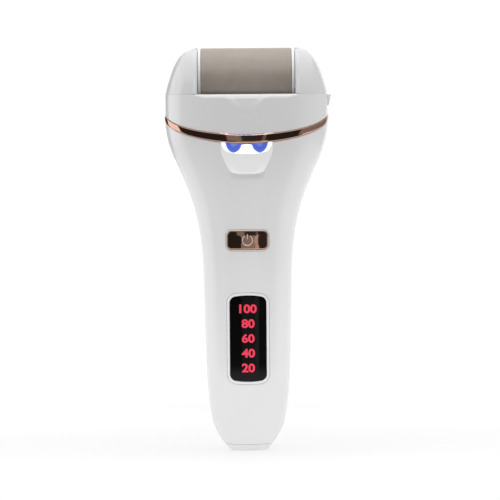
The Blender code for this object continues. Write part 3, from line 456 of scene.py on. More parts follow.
def outline_of(size, radius, centre, bulge=0.0):
    """Function of growth that gives a rounded rectangle as (x, z) points, always the same number of them."""
    counts = [max(2, round((s - 2 * radius) / OUTLINE_SPACING)) for s in size]

    def outline(grow=0.0):
        width, height, r = size[0] + 2 * grow, size[1] + 2 * grow, max(radius + grow, 0.05)
        points = []
        for quarter in range(4):
            cx = (width / 2 - r) * (1 if quarter in (0, 3) else -1)
            cz = (height / 2 - r) * (1 if quarter in (0, 1) else -1)
            points += arc((cx, cz), r, 90 * quarter, 90 * quarter + 90, CORNER_STEPS)
            steps = counts[0] if quarter in (0, 2) else counts[1]
            end = ((-cx, cz + copysign(r, cz)) if quarter in (0, 2) else (cx + copysign(r, cx), -cz))
            begin = points[-1]
            for k in range(1, steps):
                points.append(tuple(begin[i] + (end[i] - begin[i]) * k / steps for i in (0, 1)))
        points = np.array(points)
        if bulge:
            points[:, 1] += bulge * (1 - (2 * points[:, 0] / width) ** 2) * np.sign(points[:, 1])
        return points + np.array(centre)

    return outline


def on_front(outline, inset):
    return front_points(outline[:, 0], outline[:, 1], inset)


def front_rings(outline, edge):
    return [on_front(outline(grow), inset) for grow, inset in edge]


def filled(points, centre, steps, inset_at):
    """Rings that shrink to a point, following the front; inset_at(x, z, share) gives the inset."""
    rings = []
    for k in range(1, steps + 1):
        share = 1.0 - k / steps if k < steps else 0.002
        ring = np.array(centre) + share * (points - np.array(centre))
        rings.append(on_front(ring, inset_at(ring[:, 0], ring[:, 1], share)))
    return rings


def front_inlay(name, outline, edge, centre, look, steps, inset_at=None):
    """Solid let into the front; edge is (growth, inset) from its back to its front edge."""
    rings = front_rings(outline, edge)
    last_grow, last_inset = edge[-1]
    rings += filled(outline(last_grow), centre, steps, inset_at or (lambda x, z, share: last_inset))
    return closed_loft(name, rings, look)


def front_frame(name, outline, edge, look):
    """Ring let into the front, whose section is the closed loop of (growth, inset) points."""
    return closed_loft(name, front_rings(outline, edge), look, loop=True)


CUT_DEPTH = 6.0


def front_cutter(outline, edge=0.3):
    """Tool that cuts an opening through the front wall and rounds its outer edge."""
    steps = [
        (0.0, CUT_DEPTH), (0.0, edge), (edge * 0.13, edge * 0.5), (edge * 0.5, edge * 0.13), (edge, 0.0),
        (edge + 1.0, -1.0), (edge + 1.4, -3.0),
    ]
    return cutter(front_rings(outline, steps))


def gathered(tools):
    """One cutting tool from several that don't touch each other."""
    mesh = bmesh.new()
    for tool in tools:
        mesh.from_mesh(tool.data)
        bpy.data.objects.remove(tool)
    data = bpy.data.meshes.new("cutter")
    mesh.to_mesh(data)
    mesh.free()
    return add_to_scene(bpy.data.objects.new("cutter", data))


def boxed(name, x, y, z, look="black"):
    """Box between the pairs of limits along X, Y and Z."""
    corners = [(x[0], y[0]), (x[1], y[0]), (x[1], y[1]), (x[0], y[1])]
    return closed_loft(name, [[(a, b, c) for a, b in corners] for c in z], look)


def full_turn(steps):
    return tau * np.arange(steps) / steps


def rings_round(angle, rows):
    """Points round the form for the angles, through (height, inset) rows."""
    return np.stack([form_points(angle, z, inset) for z, inset in rows], 1)


def form_room(name, levels, inset, form, look, around):
    """Solid that fills the form, drawn in by the inset, through (height, further inset) levels."""
    turn = full_turn(around)
    return closed_loft(name, [form_points(turn, z, inset + extra, form) for z, extra in levels], look)


def middle(low, high, axes=(0, 2)):
    """Middle of a box along the given axes."""
    return tuple((low[axis] + high[axis]) / 2 for axis in axes)


def ease(share):
    """Smooth step from 0 to 1."""
    share = np.clip(share, 0.0, 1.0)
    return share * share * (3 - 2 * share)


# ---- handle shells

# Half widths and heights down the side of the lamp insert, and how far its rounded end goes below them.
LAMP_SIDE = (
    (12.0, 146.0), (11.95, 141.5), (11.9, 139.0), (11.65, 137.0), (11.1, 135.1), (10.2, 132.8), (9.25, 130.8),
    (8.3, 129.2),
)
LAMP_DROP = 2.1


def lamp_outline(grow=0.0):
    """Lamp insert: wide under the ring, narrowing to a rounded lower end."""
    side = np.array(LAMP_SIDE)
    (top_half, top), (end_half, end) = LAMP_SIDE[0], LAMP_SIDE[-1]
    heights = np.linspace(top, end, 30)
    widths = np.interp(heights, side[::-1, 1], side[::-1, 0]) + grow
    turns = np.radians(np.linspace(0, 90, 11)[1:])
    widths = np.concatenate([widths, (end_half + grow) * np.cos(turns) ** 0.8])
    heights = np.concatenate([heights, end - (LAMP_DROP + grow) * np.sin(turns)])
    right = np.stack([widths, heights], 1)
    left = right[:-1][::-1] * np.array([-1.0, 1.0])
    across = [((top_half + grow) * (-1 + 2 * k / 12), top + grow) for k in range(1, 12)]
    return np.concatenate([right, left, across])


# Top and lower end of the hollow under the lamp, its half width, depth and how softly its sides end.
CHIN_TOP, CHIN_LOW, CHIN_HALF, CHIN_DEEP, CHIN_SOFT = 127.3, 124.2, 8.4, 1.1, 2.6


def chin_inset(x, z):
    """Soft hollow of the front under the lip of the lamp scoop."""
    rise = ease((z - CHIN_LOW) / (CHIN_TOP - CHIN_LOW))
    return CHIN_DEEP * rise * ease((CHIN_HALF - np.abs(x)) / CHIN_SOFT)


SHELL_WAIST = 120.0
SHELL_ROWS, CLIMB_ROWS, SHELL_COLUMNS = 130, 60, 180


def shell(name, front):
    """Half of the handle, from the foot seam to the ring, with rounded edges."""
    sign = -1 if front else 1
    y_ends = ((SEAM, ROUND), (SEAM + 0.3 * ROUND, 0.3 * ROUND), (SEAM + ROUND, 0.0))
    turn = np.radians(np.linspace(0, 180, SHELL_COLUMNS + 1)[1:-1])
    low = box_mm(name)[0][2] - 0.2
    fixed = np.concatenate([[low, low + 0.03, low + 0.1], np.linspace(low + 1.0, SHELL_WAIST, SHELL_ROWS)])
    insets = np.concatenate([[0.1, 0.03, 0.0], np.zeros(SHELL_ROWS)])
    climb = np.linspace(0, 1, CLIMB_ROWS + 1)[1:]

    def column(points_at, extra, top):
        """Points up the outside, at heights that follow the ring, and down the inside of the wall."""
        upper = SHELL_WAIST + (top - ROUND - SHELL_WAIST) * climb
        z = np.concatenate([fixed, upper, [top - 0.3 * ROUND, top]])
        inset = np.concatenate([insets, np.zeros(len(climb)), [0.3 * ROUND, ROUND]])
        inset = inset + extra
        if front:
            inset = inset + chin_inset(points_at(z, inset)[:, 0], z)
        return np.concatenate([points_at(z, inset), points_at(z, np.full(len(z), WALL))[::-1]])

    def edge_columns(side, ends):
        top = ring_low(0.0) - SEAM
        return [column(lambda z, i, y=y: side_points(side, sign * y, z, i), e, top) for y, e in ends]

    rows = edge_columns(1, y_ends)
    for angle in sign * turn:
        rows.append(column(lambda z, i, a=angle: form_points(a, z, i), 0.0, ring_low(angle) - SEAM))
    rows = np.array(rows + edge_columns(-1, y_ends[::-1]))
    count, height = rows.shape[:2]
    faces = grid_faces(count, height, False, True)
    for base in (0, (count - 1) * height):
        for k in range(height // 2 - 1):
            faces.append([base + k, base + k + 1, base + height - 2 - k, base + height - 1 - k])
    return mesh_object(name + "_skin", rows, faces, "shell")


def fitting(node, bezel, bulge=0.0):
    """Middle and size of a fitting in the front, and how much wider its bezel is on each side."""
    low, high = box_mm(node)
    bezel_low, bezel_high = box_mm(bezel)
    size = (high[0] - low[0], high[2] - low[2] - 2 * bulge)
    return (0.0, middle(low, high)[1]), size, (bezel_high[0] - bezel_low[0] - size[0]) / 2


WINDOW_BULGE = 1.0
BUTTON_AT, BUTTON_SIZE, BEZEL_GROW = fitting("power_button", "button_bezel")
WINDOW_AT, WINDOW_SIZE, FRAME_GROW = fitting("display_window", "display_bezel", WINDOW_BULGE)

button_outline = outline_of(BUTTON_SIZE, 2.1, BUTTON_AT)
window_outline = outline_of(WINDOW_SIZE, 2.3, WINDOW_AT, WINDOW_BULGE)


SCREWS = (1, 2, 3, 4)


def make_shells():
    front = shell("front_shell", True)
    tools = [
        front_cutter(lambda g: button_outline(g + BEZEL_GROW + 0.08)),
        front_cutter(lambda g: window_outline(g + FRAME_GROW + 0.08)),
        front_cutter(lambda g: lamp_outline(g + 0.04), edge=0.1),
    ]
    combine(front, gathered(tools))
    place(front, "handle", "white_shell", "front_shell")
    rear = shell("rear_shell", False)
    for number in SCREWS:
        low, high = box_mm(f"shell_screw_{number}")
        x, z = middle(low, high)
        combine(rear, screw_hole((x, z), high[1], -front_points(x, z)[1]))
    place(rear, "handle", "white_shell", "rear_shell")
    for number in SCREWS:
        make_screw(number)


def screw_hole(centre, head, skin):
    """Counterbore from behind the screw's head out through the skin, with a soft edge."""
    profile = [(head - 2.4, 2.5), (skin - 0.35, 2.5), (skin - 0.1, 2.56), (skin + 0.15, 2.75),
               (skin + 3.0, 5.6)]
    return turned("cutter", profile, "Y", centre, "shell", 64)


def make_screw(number):
    """Cross-head screw in the rear shell and the cup that its head sits in."""
    low, high = box_mm(f"shell_screw_{number}")
    centre, head = middle(low, high), high[1]
    x, z = centre
    profile = [(low[1], 1.1), (head - 1.7, 1.1), (head - 1.7, 1.95), (head - 1.5, 2.1), (head - 0.7, 2.1),
               (head - 0.25, 1.85), (head, 1.2)]
    screw = turned(f"shell_screw_{number}_turned", profile, "Y", centre, "steel", 48)
    for a, b in ((1.25, 0.22), (0.22, 1.25)):
        combine(screw, boxed("bar", (x - a, x + a), (head - 0.9, head + 1.0), (z - b, z + b), "steel"))
    place(screw, "handle", "steel", f"shell_screw_{number}")
    cup = [(head - 2.3, 3.3), (head - 2.3, 2.45), (head - 1.72, 2.45), (head - 1.72, 3.3)]
    seat = turned(f"screw_seat_{number}", cup, "Y", centre, "frame_white", 48, loop=True)
    place(seat, "handle", "white_shell")


def make_foot():
    """Foot with a rounded lower edge, an upper edge that meets the shells and a plug inside them."""
    top = box_mm("front_shell")[0][2] - 0.28
    plug = WALL + 0.3
    levels = (
        (0.0, 1.5), (0.0, 0.75), (0.1, 0.36), (0.32, 0.12), (0.7, 0.0), (1.4, 0.0), (top - 0.1, 0.0),
        (top - 0.03, 0.03), (top, 0.1), (top, plug), (6.0, plug),
    )
    foot = form_room("foot_plug", levels, 0.0, BODY, "shell", 200)
    low, high = box_mm("charge_socket")
    slot = outline_of((high[0] - low[0] + 0.8, high[1] - low[1] + 0.8), 1.9, (0.0, 0.0))
    rings = [[(x, y, z) for x, y in slot(g)] for z, g in ((-1.0, 1.2), (-0.05, 0.25), (0.2, 0.0), (7.0, 0.0))]
    combine(foot, cutter(rings))
    place(foot, "handle", "white_shell", "base_cap")


# ---- ring and head

def make_ring():
    """Polished band between the handle and the head, with a crowned face."""
    angle = full_turn(288)
    low, high = ring_low(angle), ring_high(angle)
    tall = high - low
    rows = [(low + 0.05, 2.2), (low + 0.05, 0.12)]
    for t in pi * np.arange(13) / 12:
        rise = 0.5 - 0.5 * np.sign(cos(t)) * abs(cos(t)) ** 0.55
        rows.append((low + 0.05 + (tall - 0.1) * rise, 0.1 - 0.45 * sin(t) ** 0.6))
    rows += [(high - 0.05, 0.12), (high - 0.05, 2.2)]
    ring = closed_loft("trim_ring_polished", rings_round(angle, rows), "copper", loop=True)
    place(ring, "handle", "rose_gold", "trim_ring")


RIM_Z = box_mm("head_housing")[1][2]
# Radius of the rim's rounding at the middle and at the sides, and the half widths between which it changes.
RIM_ROUND = (2.3, 0.03)
RIM_FADE = (18.0, 27.0)
# Lowest point of the facet, its half width at the rim and its depth.
FACET = (154.6, 10.0, 0.7)
HOUSING_INNER = 2.8


def facet_inset(points):
    """Depth of the shallow V-shaped facet under the middle of the rim."""
    low, wide, deep = FACET
    x, y, z = points[..., 0], points[..., 1], points[..., 2]
    climb = np.clip((z - low) / (RIM_Z - low), 0.0, 1.0)
    edge = ease((wide * climb - np.abs(x) + 1.5) / 3.8)
    return np.where(y < 0, deep * ease(climb) * edge, 0.0)


def make_housing():
    """Head between the ring and the arms, open to the catch on the right and to the lamp in front."""
    angle = full_turn(400)
    base, foot = ring_high(angle) + 0.12, ring_low(angle) - 3.0
    rim = np.full(len(angle), RIM_Z)
    fade = ease((np.abs(form_points(angle, RIM_Z)[:, 0]) - RIM_FADE[0]) / (RIM_FADE[1] - RIM_FADE[0]))
    r = RIM_ROUND[0] + (RIM_ROUND[1] - RIM_ROUND[0]) * fade
    rows = [(foot, HOUSING_WALL), (rim, HOUSING_WALL), (rim, HOUSING_INNER), (rim, 1.0 + 0.6 * r), (rim, r)]
    rows += [(rim - r * (1 - sin(t)), r * (1 - cos(t))) for t in np.radians(np.linspace(80, 0, 8))]
    start = rim - r
    rows += [(start + (base + ROUND - start) * share, 0.0) for share in np.linspace(0, 1, 40)[1:]]
    rows += [(base + 0.3 * ROUND, 0.3 * ROUND), (base, ROUND), (base, HOUSING_INNER), (foot, HOUSING_INNER)]
    rings = rings_round(angle, rows)
    push = facet_inset(rings)
    push[:, :2] = 0.0
    rings[..., 1] += push
    housing = closed_loft("head_housing_shell", rings, "shell_head", loop=True)
    window = outline_of((10.5, 16.0), 0.7, (0.0, box_mm("release_button")[0][2] + 0.95 + 8.0))
    levels = ((30.0, 0.0), (36.95, 0.0), (37.3, 0.14), (41.0, 2.5))
    rings = [[(x, y, z) for y, z in window(grow)] for x, grow in levels]
    combine(housing, cutter(rings))
    combine(housing, boxed("cutter", (-12.6, 12.6), (-30.0, -10.0), (130.0, 142.0)))
    place(housing, "handle", "white_shell", "head_housing")


NOTCH = 22.2
ROLLER_LOW, ROLLER_HIGH = box_mm("roller_sleeve")
ROLLER_Z = (ROLLER_LOW[2] + ROLLER_HIGH[2]) / 2
ROLLER_R = (ROLLER_HIGH[2] - ROLLER_LOW[2]) / 2
ROLLER_HALF = ROLLER_HIGH[0]


def arm_ring(side, z, extra):
    """Section of an arm at one height: rounded inner corners, then round the outer form."""
    hw, hd = float(ARMS[0](z)) - extra, float(ARMS[1](z)) - extra
    inner = NOTCH + extra
    r = max(0.05, min(1.2 if extra else 1.3, 0.42 * (hw - inner)))

    def y_at(x):
        return hd * (1.0 - min(1.0, x / hw) ** POWER) ** (1 / POWER)

    def normal_at(x):
        nx, ny = (x / hw) ** (POWER - 1) / hw, (y_at(x) / hd) ** (POWER - 1) / hd
        size = sqrt(nx * nx + ny * ny)
        return nx / size, ny / size

    touch = inner + r
    for _ in range(6):
        touch = inner + r + r * normal_at(touch)[0]
    nx, ny = normal_at(touch)
    cx, cy = inner + r, y_at(touch) - r * ny
    end = atan2(ny, nx)
    corner = [(cx + r * cos(t), cy + r * sin(t)) for t in np.linspace(pi, end, 9)]
    share = touch / hw
    first = atan2((y_at(touch) / hd) ** (POWER / 2), share ** (POWER / 2))
    turns = np.linspace(first, 0.0, 40)[1:]
    outer = [(hw * abs(cos(t)) ** (2 / POWER), hd * abs(sin(t)) ** (2 / POWER)) for t in turns]
    back = corner + outer
    ring = back + [(x, -y) for x, y in back[:-1][::-1]]
    inside = [(inner, -cy + 2 * cy * k / 12) for k in range(1, 12)]
    return [(side * x, y, z) for x, y in ring + inside]


ARM_BASE = ARM_FORM[0][0]
CROWN = box_mm("roller_cradle")[1][2]
CROWN_EDGE = ((-0.5, 0.0), (-0.22, 0.06), (-0.07, 0.18), (0.0, 0.36))


ARM_SHARP = 26.0
SLOT_HALF, COG_HALF, CATCH_HALF = 4.3, 6.2, 6.8
COG_ROOM = (-28.3, -24.2)
TOOL_TOP = CROWN + 8.0


def crown_levels():
    """Heights up the arms and how far the form is drawn in there, up to the rounded edge of the crown."""
    levels = [(z, 0.0) for z in np.linspace(ARM_BASE, CROWN + CROWN_EDGE[0][0], 70)]
    return levels + [(CROWN + up, extra) for up, extra in CROWN_EDGE[1:]]


def bore_tool(profile, sides=96, at_z=None):
    """Revolved cutter along X, on the roller's axis unless a height is given."""
    return turned("cutter", profile, "X", (0.0, ROLLER_Z if at_z is None else at_z), "black", sides)


def slot_tool(name, half, x_range, look="black"):
    """Straight bar along X with a round lower side, reaching up past the arms."""
    turn = np.radians(np.linspace(180, 360, 41))
    shape = [(half * cos(t), ROLLER_Z + half * sin(t)) for t in turn] + [(half, TOOL_TOP), (-half, TOOL_TOP)]
    return closed_loft(name, [[(x, y, z) for y, z in shape] for x in x_range], look)


def idler_tool():
    """Disc that clears the idler gear in the left arm."""
    low, high = box_mm("idler_gear")
    radius = (high[2] - low[2]) / 2 + 0.6
    return bore_tool([(x, radius) for x in COG_ROOM], at_z=(high[2] + low[2]) / 2)


def catch_tool(top):
    """Box that clears the hook of the catch under the right arm."""
    return boxed("cutter", (27.9, 42.0), (-CATCH_HALF, CATCH_HALF), (159.0, top))


def make_arm(side, tools):
    name = "cradle_arm_" + ("left" if side < 0 else "right")
    levels = [(ARM_BASE - 0.29, 0.0), (ARM_BASE - 0.2, 0.0), *crown_levels()]
    # The arm takes the darker copy of the gloss white, which is painted shade.
    arm = closed_loft(name, [arm_ring(side, *level) for level in levels], "cradle_white_painted_shade", ARM_SHARP)
    for make_tool in tools:
        combine(arm, make_tool(), sharp=ARM_SHARP)
    place(arm, "handle", "white_shell", "roller_cradle")


def make_cradle():
    """The two arms, and the deck between them with the trough under the roller."""
    make_arm(-1, (
        lambda: slot_tool("cutter", SLOT_HALF, (-27.3, -20.0)),
        lambda: slot_tool("cutter", COG_HALF, COG_ROOM),
        idler_tool,
    ))
    make_arm(1, (
        lambda: slot_tool("cutter", SLOT_HALF, (20.0, 27.6)),
        lambda: boxed("cutter", (20.0, 33.4), (3.7, CATCH_HALF), (160.0, 172.4)),
        lambda: catch_tool(163.9),
    ))
    inset = HOUSING_WALL + 0.15
    levels = ((160.8, 0.0), (162.3, 0.0), (163.0, 0.2), (163.45, 0.5))
    deck = form_room("cradle_deck", levels, inset, BODY, "shell_head", 200)
    trough = turned("trough", [(-24.2, 17.3), (24.2, 17.3)], "X", (0.0, ROLLER_Z), "shell_head", 128)
    levels = ((150.0, 0.0), (156.0, 0.0), (163.1, 0.0))
    combine(trough, form_room("room", levels, inset, BODY, "black", 200), "INTERSECT")
    combine(deck, trough, "UNION")
    combine(deck, boxed("cutter", (-NOTCH, NOTCH), (-30.0, 30.0), (163.1, 190.0)))
    well = [(-NOTCH, 15.2), (-NOTCH + 0.3, 15.5), (NOTCH - 0.3, 15.5), (NOTCH, 15.2)]
    combine(deck, bore_tool(well, 160))
    combine(deck, idler_tool())
    combine(deck, catch_tool(165.0))
    place(deck, "handle", "white_frame", "roller_cradle")


# Height above the end of the thumb pad and how far the pad is drawn in there, for its rounded ends.
PAD_EDGE = ((0.0, 0.45), (0.08, 0.2), (0.25, 0.06), (0.45, 0.0))
PAD_INNER, PAD_LOW_OUT, PAD_RADIUS = 31.0, 37.55, 0.9
GRIP_HEIGHTS = (159.6, 160.7, 161.8)
HOOK_X, HOOK_HALF = (30.8, 32.2), 6.4


def make_catch():
    """Thumb pad of the release catch, with three grip grooves, and the hook behind it."""
    low, high = box_mm("release_button")
    bottom, top = low[2] + 1.2, RIM_Z - 0.1
    levels = [(bottom + up, extra) for up, extra in PAD_EDGE]
    levels += [(z, 0.0) for z in np.linspace(bottom + 0.7, top - 0.7, 40)]
    levels += [(top - down, extra) for down, extra in PAD_EDGE[::-1]]
    rings = []
    for z, extra in levels:
        share = (z - bottom) / (top - bottom)
        grip = sum(np.exp(-((z - groove) / 0.26) ** 2) for groove in GRIP_HEIGHTS) * 0.22
        out = PAD_LOW_OUT + (high[0] - PAD_LOW_OUT) * share**0.8 - extra - grip
        r, half_y, tip_y = PAD_RADIUS, 5.0 - extra, 4.45 - extra
        ring = [(PAD_INNER, half_y), (PAD_INNER, -half_y), (out - 1.5, -half_y)]
        ring += arc((out - r, -(tip_y - r)), r, -90, 0, 7) + arc((out - r, tip_y - r), r, 0, 90, 7)
        ring += [(out - 1.5, half_y)]
        rings.append([(x, y, z) for x, y in ring])
    thumb = closed_loft("release_thumb_pad", rings, "shell_head")
    place(thumb, "release_body", "white_shell", "release_button")
    hook = boxed("release_hook", HOOK_X, (-HOOK_HALF, HOOK_HALF), (low[2], top), "frame_white")
    for x, z in ((HOOK_X, (157.5, 172.0)), ((24.4, HOOK_X[1]), (169.0, 172.0))):
        combine(hook, boxed("arm", x, (4.6, HOOK_HALF), z, "frame_white"), "UNION")
    soften(hook, 0.3)
    place(hook, "release_body", "white_frame", "release_button")


# ---- roller

ROLLER_AT = (0.0, ROLLER_Z)
BORE = 1.3
PRESSURE = radians(20)


def roller_part(name, profile, look, sides, node, slot):
    """Revolved part of the roller with the axle's bore through it."""
    part = turned(name, profile, "X", ROLLER_AT, look, sides, loop=True)
    place(part, "roller", slot, node)


def make_roller():
    inner, half = ROLLER_R - 1.7, ROLLER_HALF
    profile = [(-half, inner + 0.2), (-half, ROLLER_R - 0.7)]
    for t in np.radians((20, 45, 70, 90)):
        profile.append((-half + 0.5 - 0.5 * cos(t), ROLLER_R - 0.5 + 0.5 * sin(t)))
    profile += [(-x, r) for x, r in profile[::-1]]
    profile += [(half, inner), (-half, inner)]
    roller_part("mineral_sleeve", profile, "mineral", 192, "roller_sleeve", "mineral_coating")
    core_r, core_x = inner - 0.15, box_mm("roller_core")[1][0]
    profile = [(-core_x, BORE), (-core_x, core_r - 0.3), (-core_x + 0.3, core_r), (core_x - 0.3, core_r),
               (core_x, core_r - 0.3), (core_x, core_r - 1.6), (-core_x + 2.0, core_r - 1.9),
               (-core_x + 2.0, 3.6), (core_x, 3.4), (core_x, BORE)]
    roller_part("roller_drum", profile, "frame_white", 96, "roller_core", "white_frame")
    low, high = box_mm("roller_end_cap")
    x0, x1, r = low[0], high[0] + 0.13, ROLLER_R - 0.05
    face = [(half + 0.05, core_r), (half + 0.05, r - 0.1), (half + 0.08, r - 0.03), (half + 0.15, r),
            (x1 - 0.3, r), (x1 - 0.1, r - 0.09), (x1, r - 0.3), (x1, r - 3.2), (x1 - 0.3, r - 3.6),
            (x1 - 0.3, 5.2), (x1, 4.9), (x1, 1.7), (x1 - 0.1, BORE), (x0, BORE), (x0, core_r)]
    roller_part("roller_end_disc", face, "frame_white", 128, "roller_end_cap", "white_frame")
    face = [(-x, radius) for x, radius in face[::-1]]
    roller_part("roller_drive_disc", face, "frame_white", 128, "roller_cog", "nylon")
    hub = [(-25.0, BORE), (-25.0, 1.8), (-24.9, 1.9), (-x1, 1.9), (-x1, BORE)]
    roller_part("roller_drive_hub", hub, "nylon", 64, "roller_cog", "nylon")
    place(drive_cog(12, (-27.5, -24.5)), "roller", "nylon", "roller_cog")


def drive_cog(teeth, faces_x):
    """Spur gear with involute flanks and chamfered faces."""
    pitch_r = MODULE * teeth / 2
    base_r = pitch_r * cos(PRESSURE)
    root_r, tip_r = pitch_r - 1.25 * MODULE, MODULE * (teeth / 2 + 0.9)
    half_pitch = (pi * MODULE / 2 - 0.25) / (2 * pitch_r)

    def half_angle(r):
        press = np.arccos(base_r / max(r, base_r))
        return half_pitch + (np.tan(PRESSURE) - PRESSURE) - (np.tan(press) - press)

    flank = [(r, half_angle(r)) for r in np.linspace(root_r, tip_r, 7)]
    outline = []
    for tooth in range(teeth):
        middle_turn = tau * tooth / teeth
        outline += [(r, middle_turn - half) for r, half in flank]
        outline += [(r, middle_turn + half) for r, half in flank[::-1]]
    radii, turns = np.array(outline).T

    def ring(x, r):
        return np.stack([np.full(len(turns), x), r * np.sin(turns), ROLLER_Z + r * np.cos(turns)], 1)

    low, high = faces_x
    chamfered = ((low, 0.22), (low + 0.2, 0.0), (high - 0.2, 0.0), (high, 0.22))
    rings = [ring(x, radii - drop) for x, drop in chamfered] + [ring(high, BORE), ring(low, BORE)]
    return closed_loft("roller_drive_cog", rings, "nylon", 40.0, loop=True)


def make_axle():
    low, high = box_mm("roller_axle")
    profile = [(low[0], 0.75), (low[0] + 0.25, 1.0), (high[0] - 0.25, 1.0), (high[0], 0.75)]
    place(turned("axle_rod", profile, "X", ROLLER_AT, "steel", 48), "axle_set", "steel", "roller_axle")
    make_carrier("axle_carrier_right", (NOTCH + 0.05, 27.48), BORE)
    make_carrier("axle_carrier_left", (-24.1, -NOTCH - 0.05), 2.2)


def make_carrier(node, x_range, bore):
    """Bearing of the axle in its slot, flush with the crown of the arm; the left one also hoods the cog."""
    # The carrier takes the arms' darker white, which is painted shade.
    half, look = SLOT_HALF - 0.12, "cradle_white_painted_shade"
    carrier = slot_tool(node + "_block", half, x_range, look)
    if x_range[0] < 0:
        z_range = (ROLLER_Z + MODULE * 6.9 + 0.5, CROWN + 6.0)
        hood = boxed("hood", (-28.18, -24.3), (-6.08, 6.08), z_range, look)
        combine(hood, boxed("neck", (-24.6, x_range[1]), (-half, half), z_range, look), "UNION")
        combine(carrier, hood, "UNION")
    room = form_room("room", crown_levels(), 0.0, ARMS, look, 240)
    combine(carrier, room, "INTERSECT", ARM_SHARP)
    combine(carrier, bore_tool([(-40.0, bore), (40.0, bore)], 64), sharp=ARM_SHARP)
    place(carrier, "axle_set", "white_shell", node)


# ---- front fittings

BUTTON_PROUD, BUTTON_CROWN = 0.5, 0.18


def button_inset(x, z, share):
    """Crowned face of the button, which stands proud of the handle."""
    return -BUTTON_PROUD - BUTTON_CROWN * (1 - share**2)


def make_button():
    edge = [(0.0, 1.9), (0.0, 0.2), (0.0, -0.12), (-0.05, -0.28), (-0.16, -0.42), (-0.34, -0.49),
            (-BUTTON_PROUD, -BUTTON_PROUD)]
    cap = front_inlay("power_button_cap", button_outline, edge, BUTTON_AT, "copper", 12, button_inset)
    post = turned("post", [(-17.2, 1.6), (box_mm("power_button")[1][1], 1.6)], "Y", BUTTON_AT, "copper", 32)
    combine(cap, post, "UNION")
    place(cap, "power_button_body", "rose_gold", "power_button")
    g = BEZEL_GROW
    edge = [(0.12, 2.0), (0.12, 0.0), (0.16, -0.14), (0.26, -0.2), (g - 0.16, -0.2), (g - 0.05, -0.12),
            (g, 0.0), (g, 2.0)]
    bezel = front_frame("button_surround", button_outline, edge, "peach")
    place(bezel, "handle", "rose_gold_edge", "button_bezel")
    make_icon()


ICON_R, ICON_GAP, ICON_HALF = 2.3, 32, 0.24


def make_icon():
    """Power sign on the button: a ring with a gap at its top and a bar through the gap."""
    x0, z0 = BUTTON_AT
    turns = np.radians(np.linspace(90 + ICON_GAP, 450 - ICON_GAP, 72))
    ring = [(x0 + ICON_R * cos(t), z0 + ICON_R * sin(t), atan2(sin(t), cos(t))) for t in turns]
    bar = [(x0, z0 + 0.5 + ICON_R * k / 12, 0.0) for k in range(13)]
    section = ((-ICON_HALF, 0.02), (-ICON_HALF * 0.6, -0.07), (ICON_HALF * 0.6, -0.07), (ICON_HALF, 0.02))
    points, faces = [], []
    for part in (ring, bar):
        start = len(points)
        for x, z, turn in part:
            for across, lift in section:
                px, pz = x + across * cos(turn), z + across * sin(turn)
                share = max(abs(px - x0) / (BUTTON_SIZE[0] / 2), abs(pz - z0) / (BUTTON_SIZE[1] / 2))
                points.append(front_points(px, pz, button_inset(px, pz, share) + lift))
        faces += grid_faces(len(part), 4, False, True, start)
        faces.append([start, start + 1, start + 2, start + 3])
        faces.append([start + 4 * (len(part) - 1) + k for k in (3, 2, 1, 0)])
    icon = mesh_object("power_sign", points, faces, "icon")
    place(icon, "power_button_body", "rose_gold_edge")


DIGIT_ROWS = ("100", "80", "60", "40", "20")
DIGIT_HEIGHT, DIGIT_STRETCH, DIGIT_SPACING = 4.1, 1.12, 6.75


def make_display():
    edge = [(0.0, 1.6), (0.0, 0.35), (-0.05, 0.16), (-0.16, 0.04), (-0.35, 0.0)]
    window = front_inlay("display_glass", window_outline, edge, WINDOW_AT, "glass", 20)
    place(window, "handle", "display_black", "display_window")
    g = FRAME_GROW
    edge = [(0.08, 2.0), (0.08, 0.1), (0.14, -0.06), (0.3, -0.2), (0.55, -0.26), (0.85, -0.24),
            (g - 0.2, -0.1), (g - 0.04, 0.06), (g, 0.25), (g, 2.0)]
    bezel = front_frame("display_surround", window_outline, edge, "frame_white")
    place(bezel, "handle", "white_gloss", "display_bezel")
    points, faces = [], []
    for row, text in enumerate(DIGIT_ROWS):
        z = WINDOW_AT[1] + DIGIT_SPACING * (2 - row) + 0.15
        shape, shape_faces = number_shape(text)
        for inset, order in ((0.06, -1), (-0.05, 1)):
            base = len(points)
            points += list(front_points(shape[:, 0], z + shape[:, 1], inset))
            faces += [[base + k for k in face[::order]] for face in shape_faces]
        faces += side_faces(shape_faces, len(points) - 2 * len(shape), len(shape))
    digits = mesh_object("display_digits", points, faces, "digits")
    place(digits, "handle", "display_black")


def side_faces(shape_faces, base, count):
    """Walls between a flat shape and its copy, along the shape's border."""
    edges = {edge: None for face in shape_faces for edge in zip(face, face[1:] + face[:1])}
    border = [(a, b) for a, b in edges if (b, a) not in edges]
    return [[base + a, base + b, base + count + b, base + count + a] for a, b in border]


def number_shape(text):
    """Filled outline of a short number, centred, as points in millimetres with their faces."""
    curve = bpy.data.curves.new("number", "FONT")
    curve.body = text
    curve.align_x = "CENTER"
    curve.align_y = "CENTER"
    curve.size = 1.0
    curve.resolution_u = 4
    curve.offset = 0.035
    holder = add_to_scene(bpy.data.objects.new("number", curve))
    bpy.context.view_layer.update()
    mesh = bpy.data.meshes.new_from_object(holder.evaluated_get(bpy.context.evaluated_depsgraph_get()))
    points = np.array([v.co[:2] for v in mesh.vertices], float)
    low, high = points.min(0), points.max(0)
    points = (points - (low + high) / 2) * (DIGIT_HEIGHT / (high[1] - low[1]))
    points[:, 0] *= DIGIT_STRETCH
    faces = [list(p.vertices) for p in mesh.polygons]
    bpy.data.objects.remove(holder)
    bpy.data.curves.remove(curve)
    bpy.data.meshes.remove(mesh)
    return points, faces


LENS_TOP = 142.5
LENS_POWER = 3.1
# Half width of the lens, and how far it goes down and up from LENS_TOP.
LENS_REACH = (11.2, LENS_TOP - box_mm("lamp_lens")[0][2] - 0.6, 4.0)
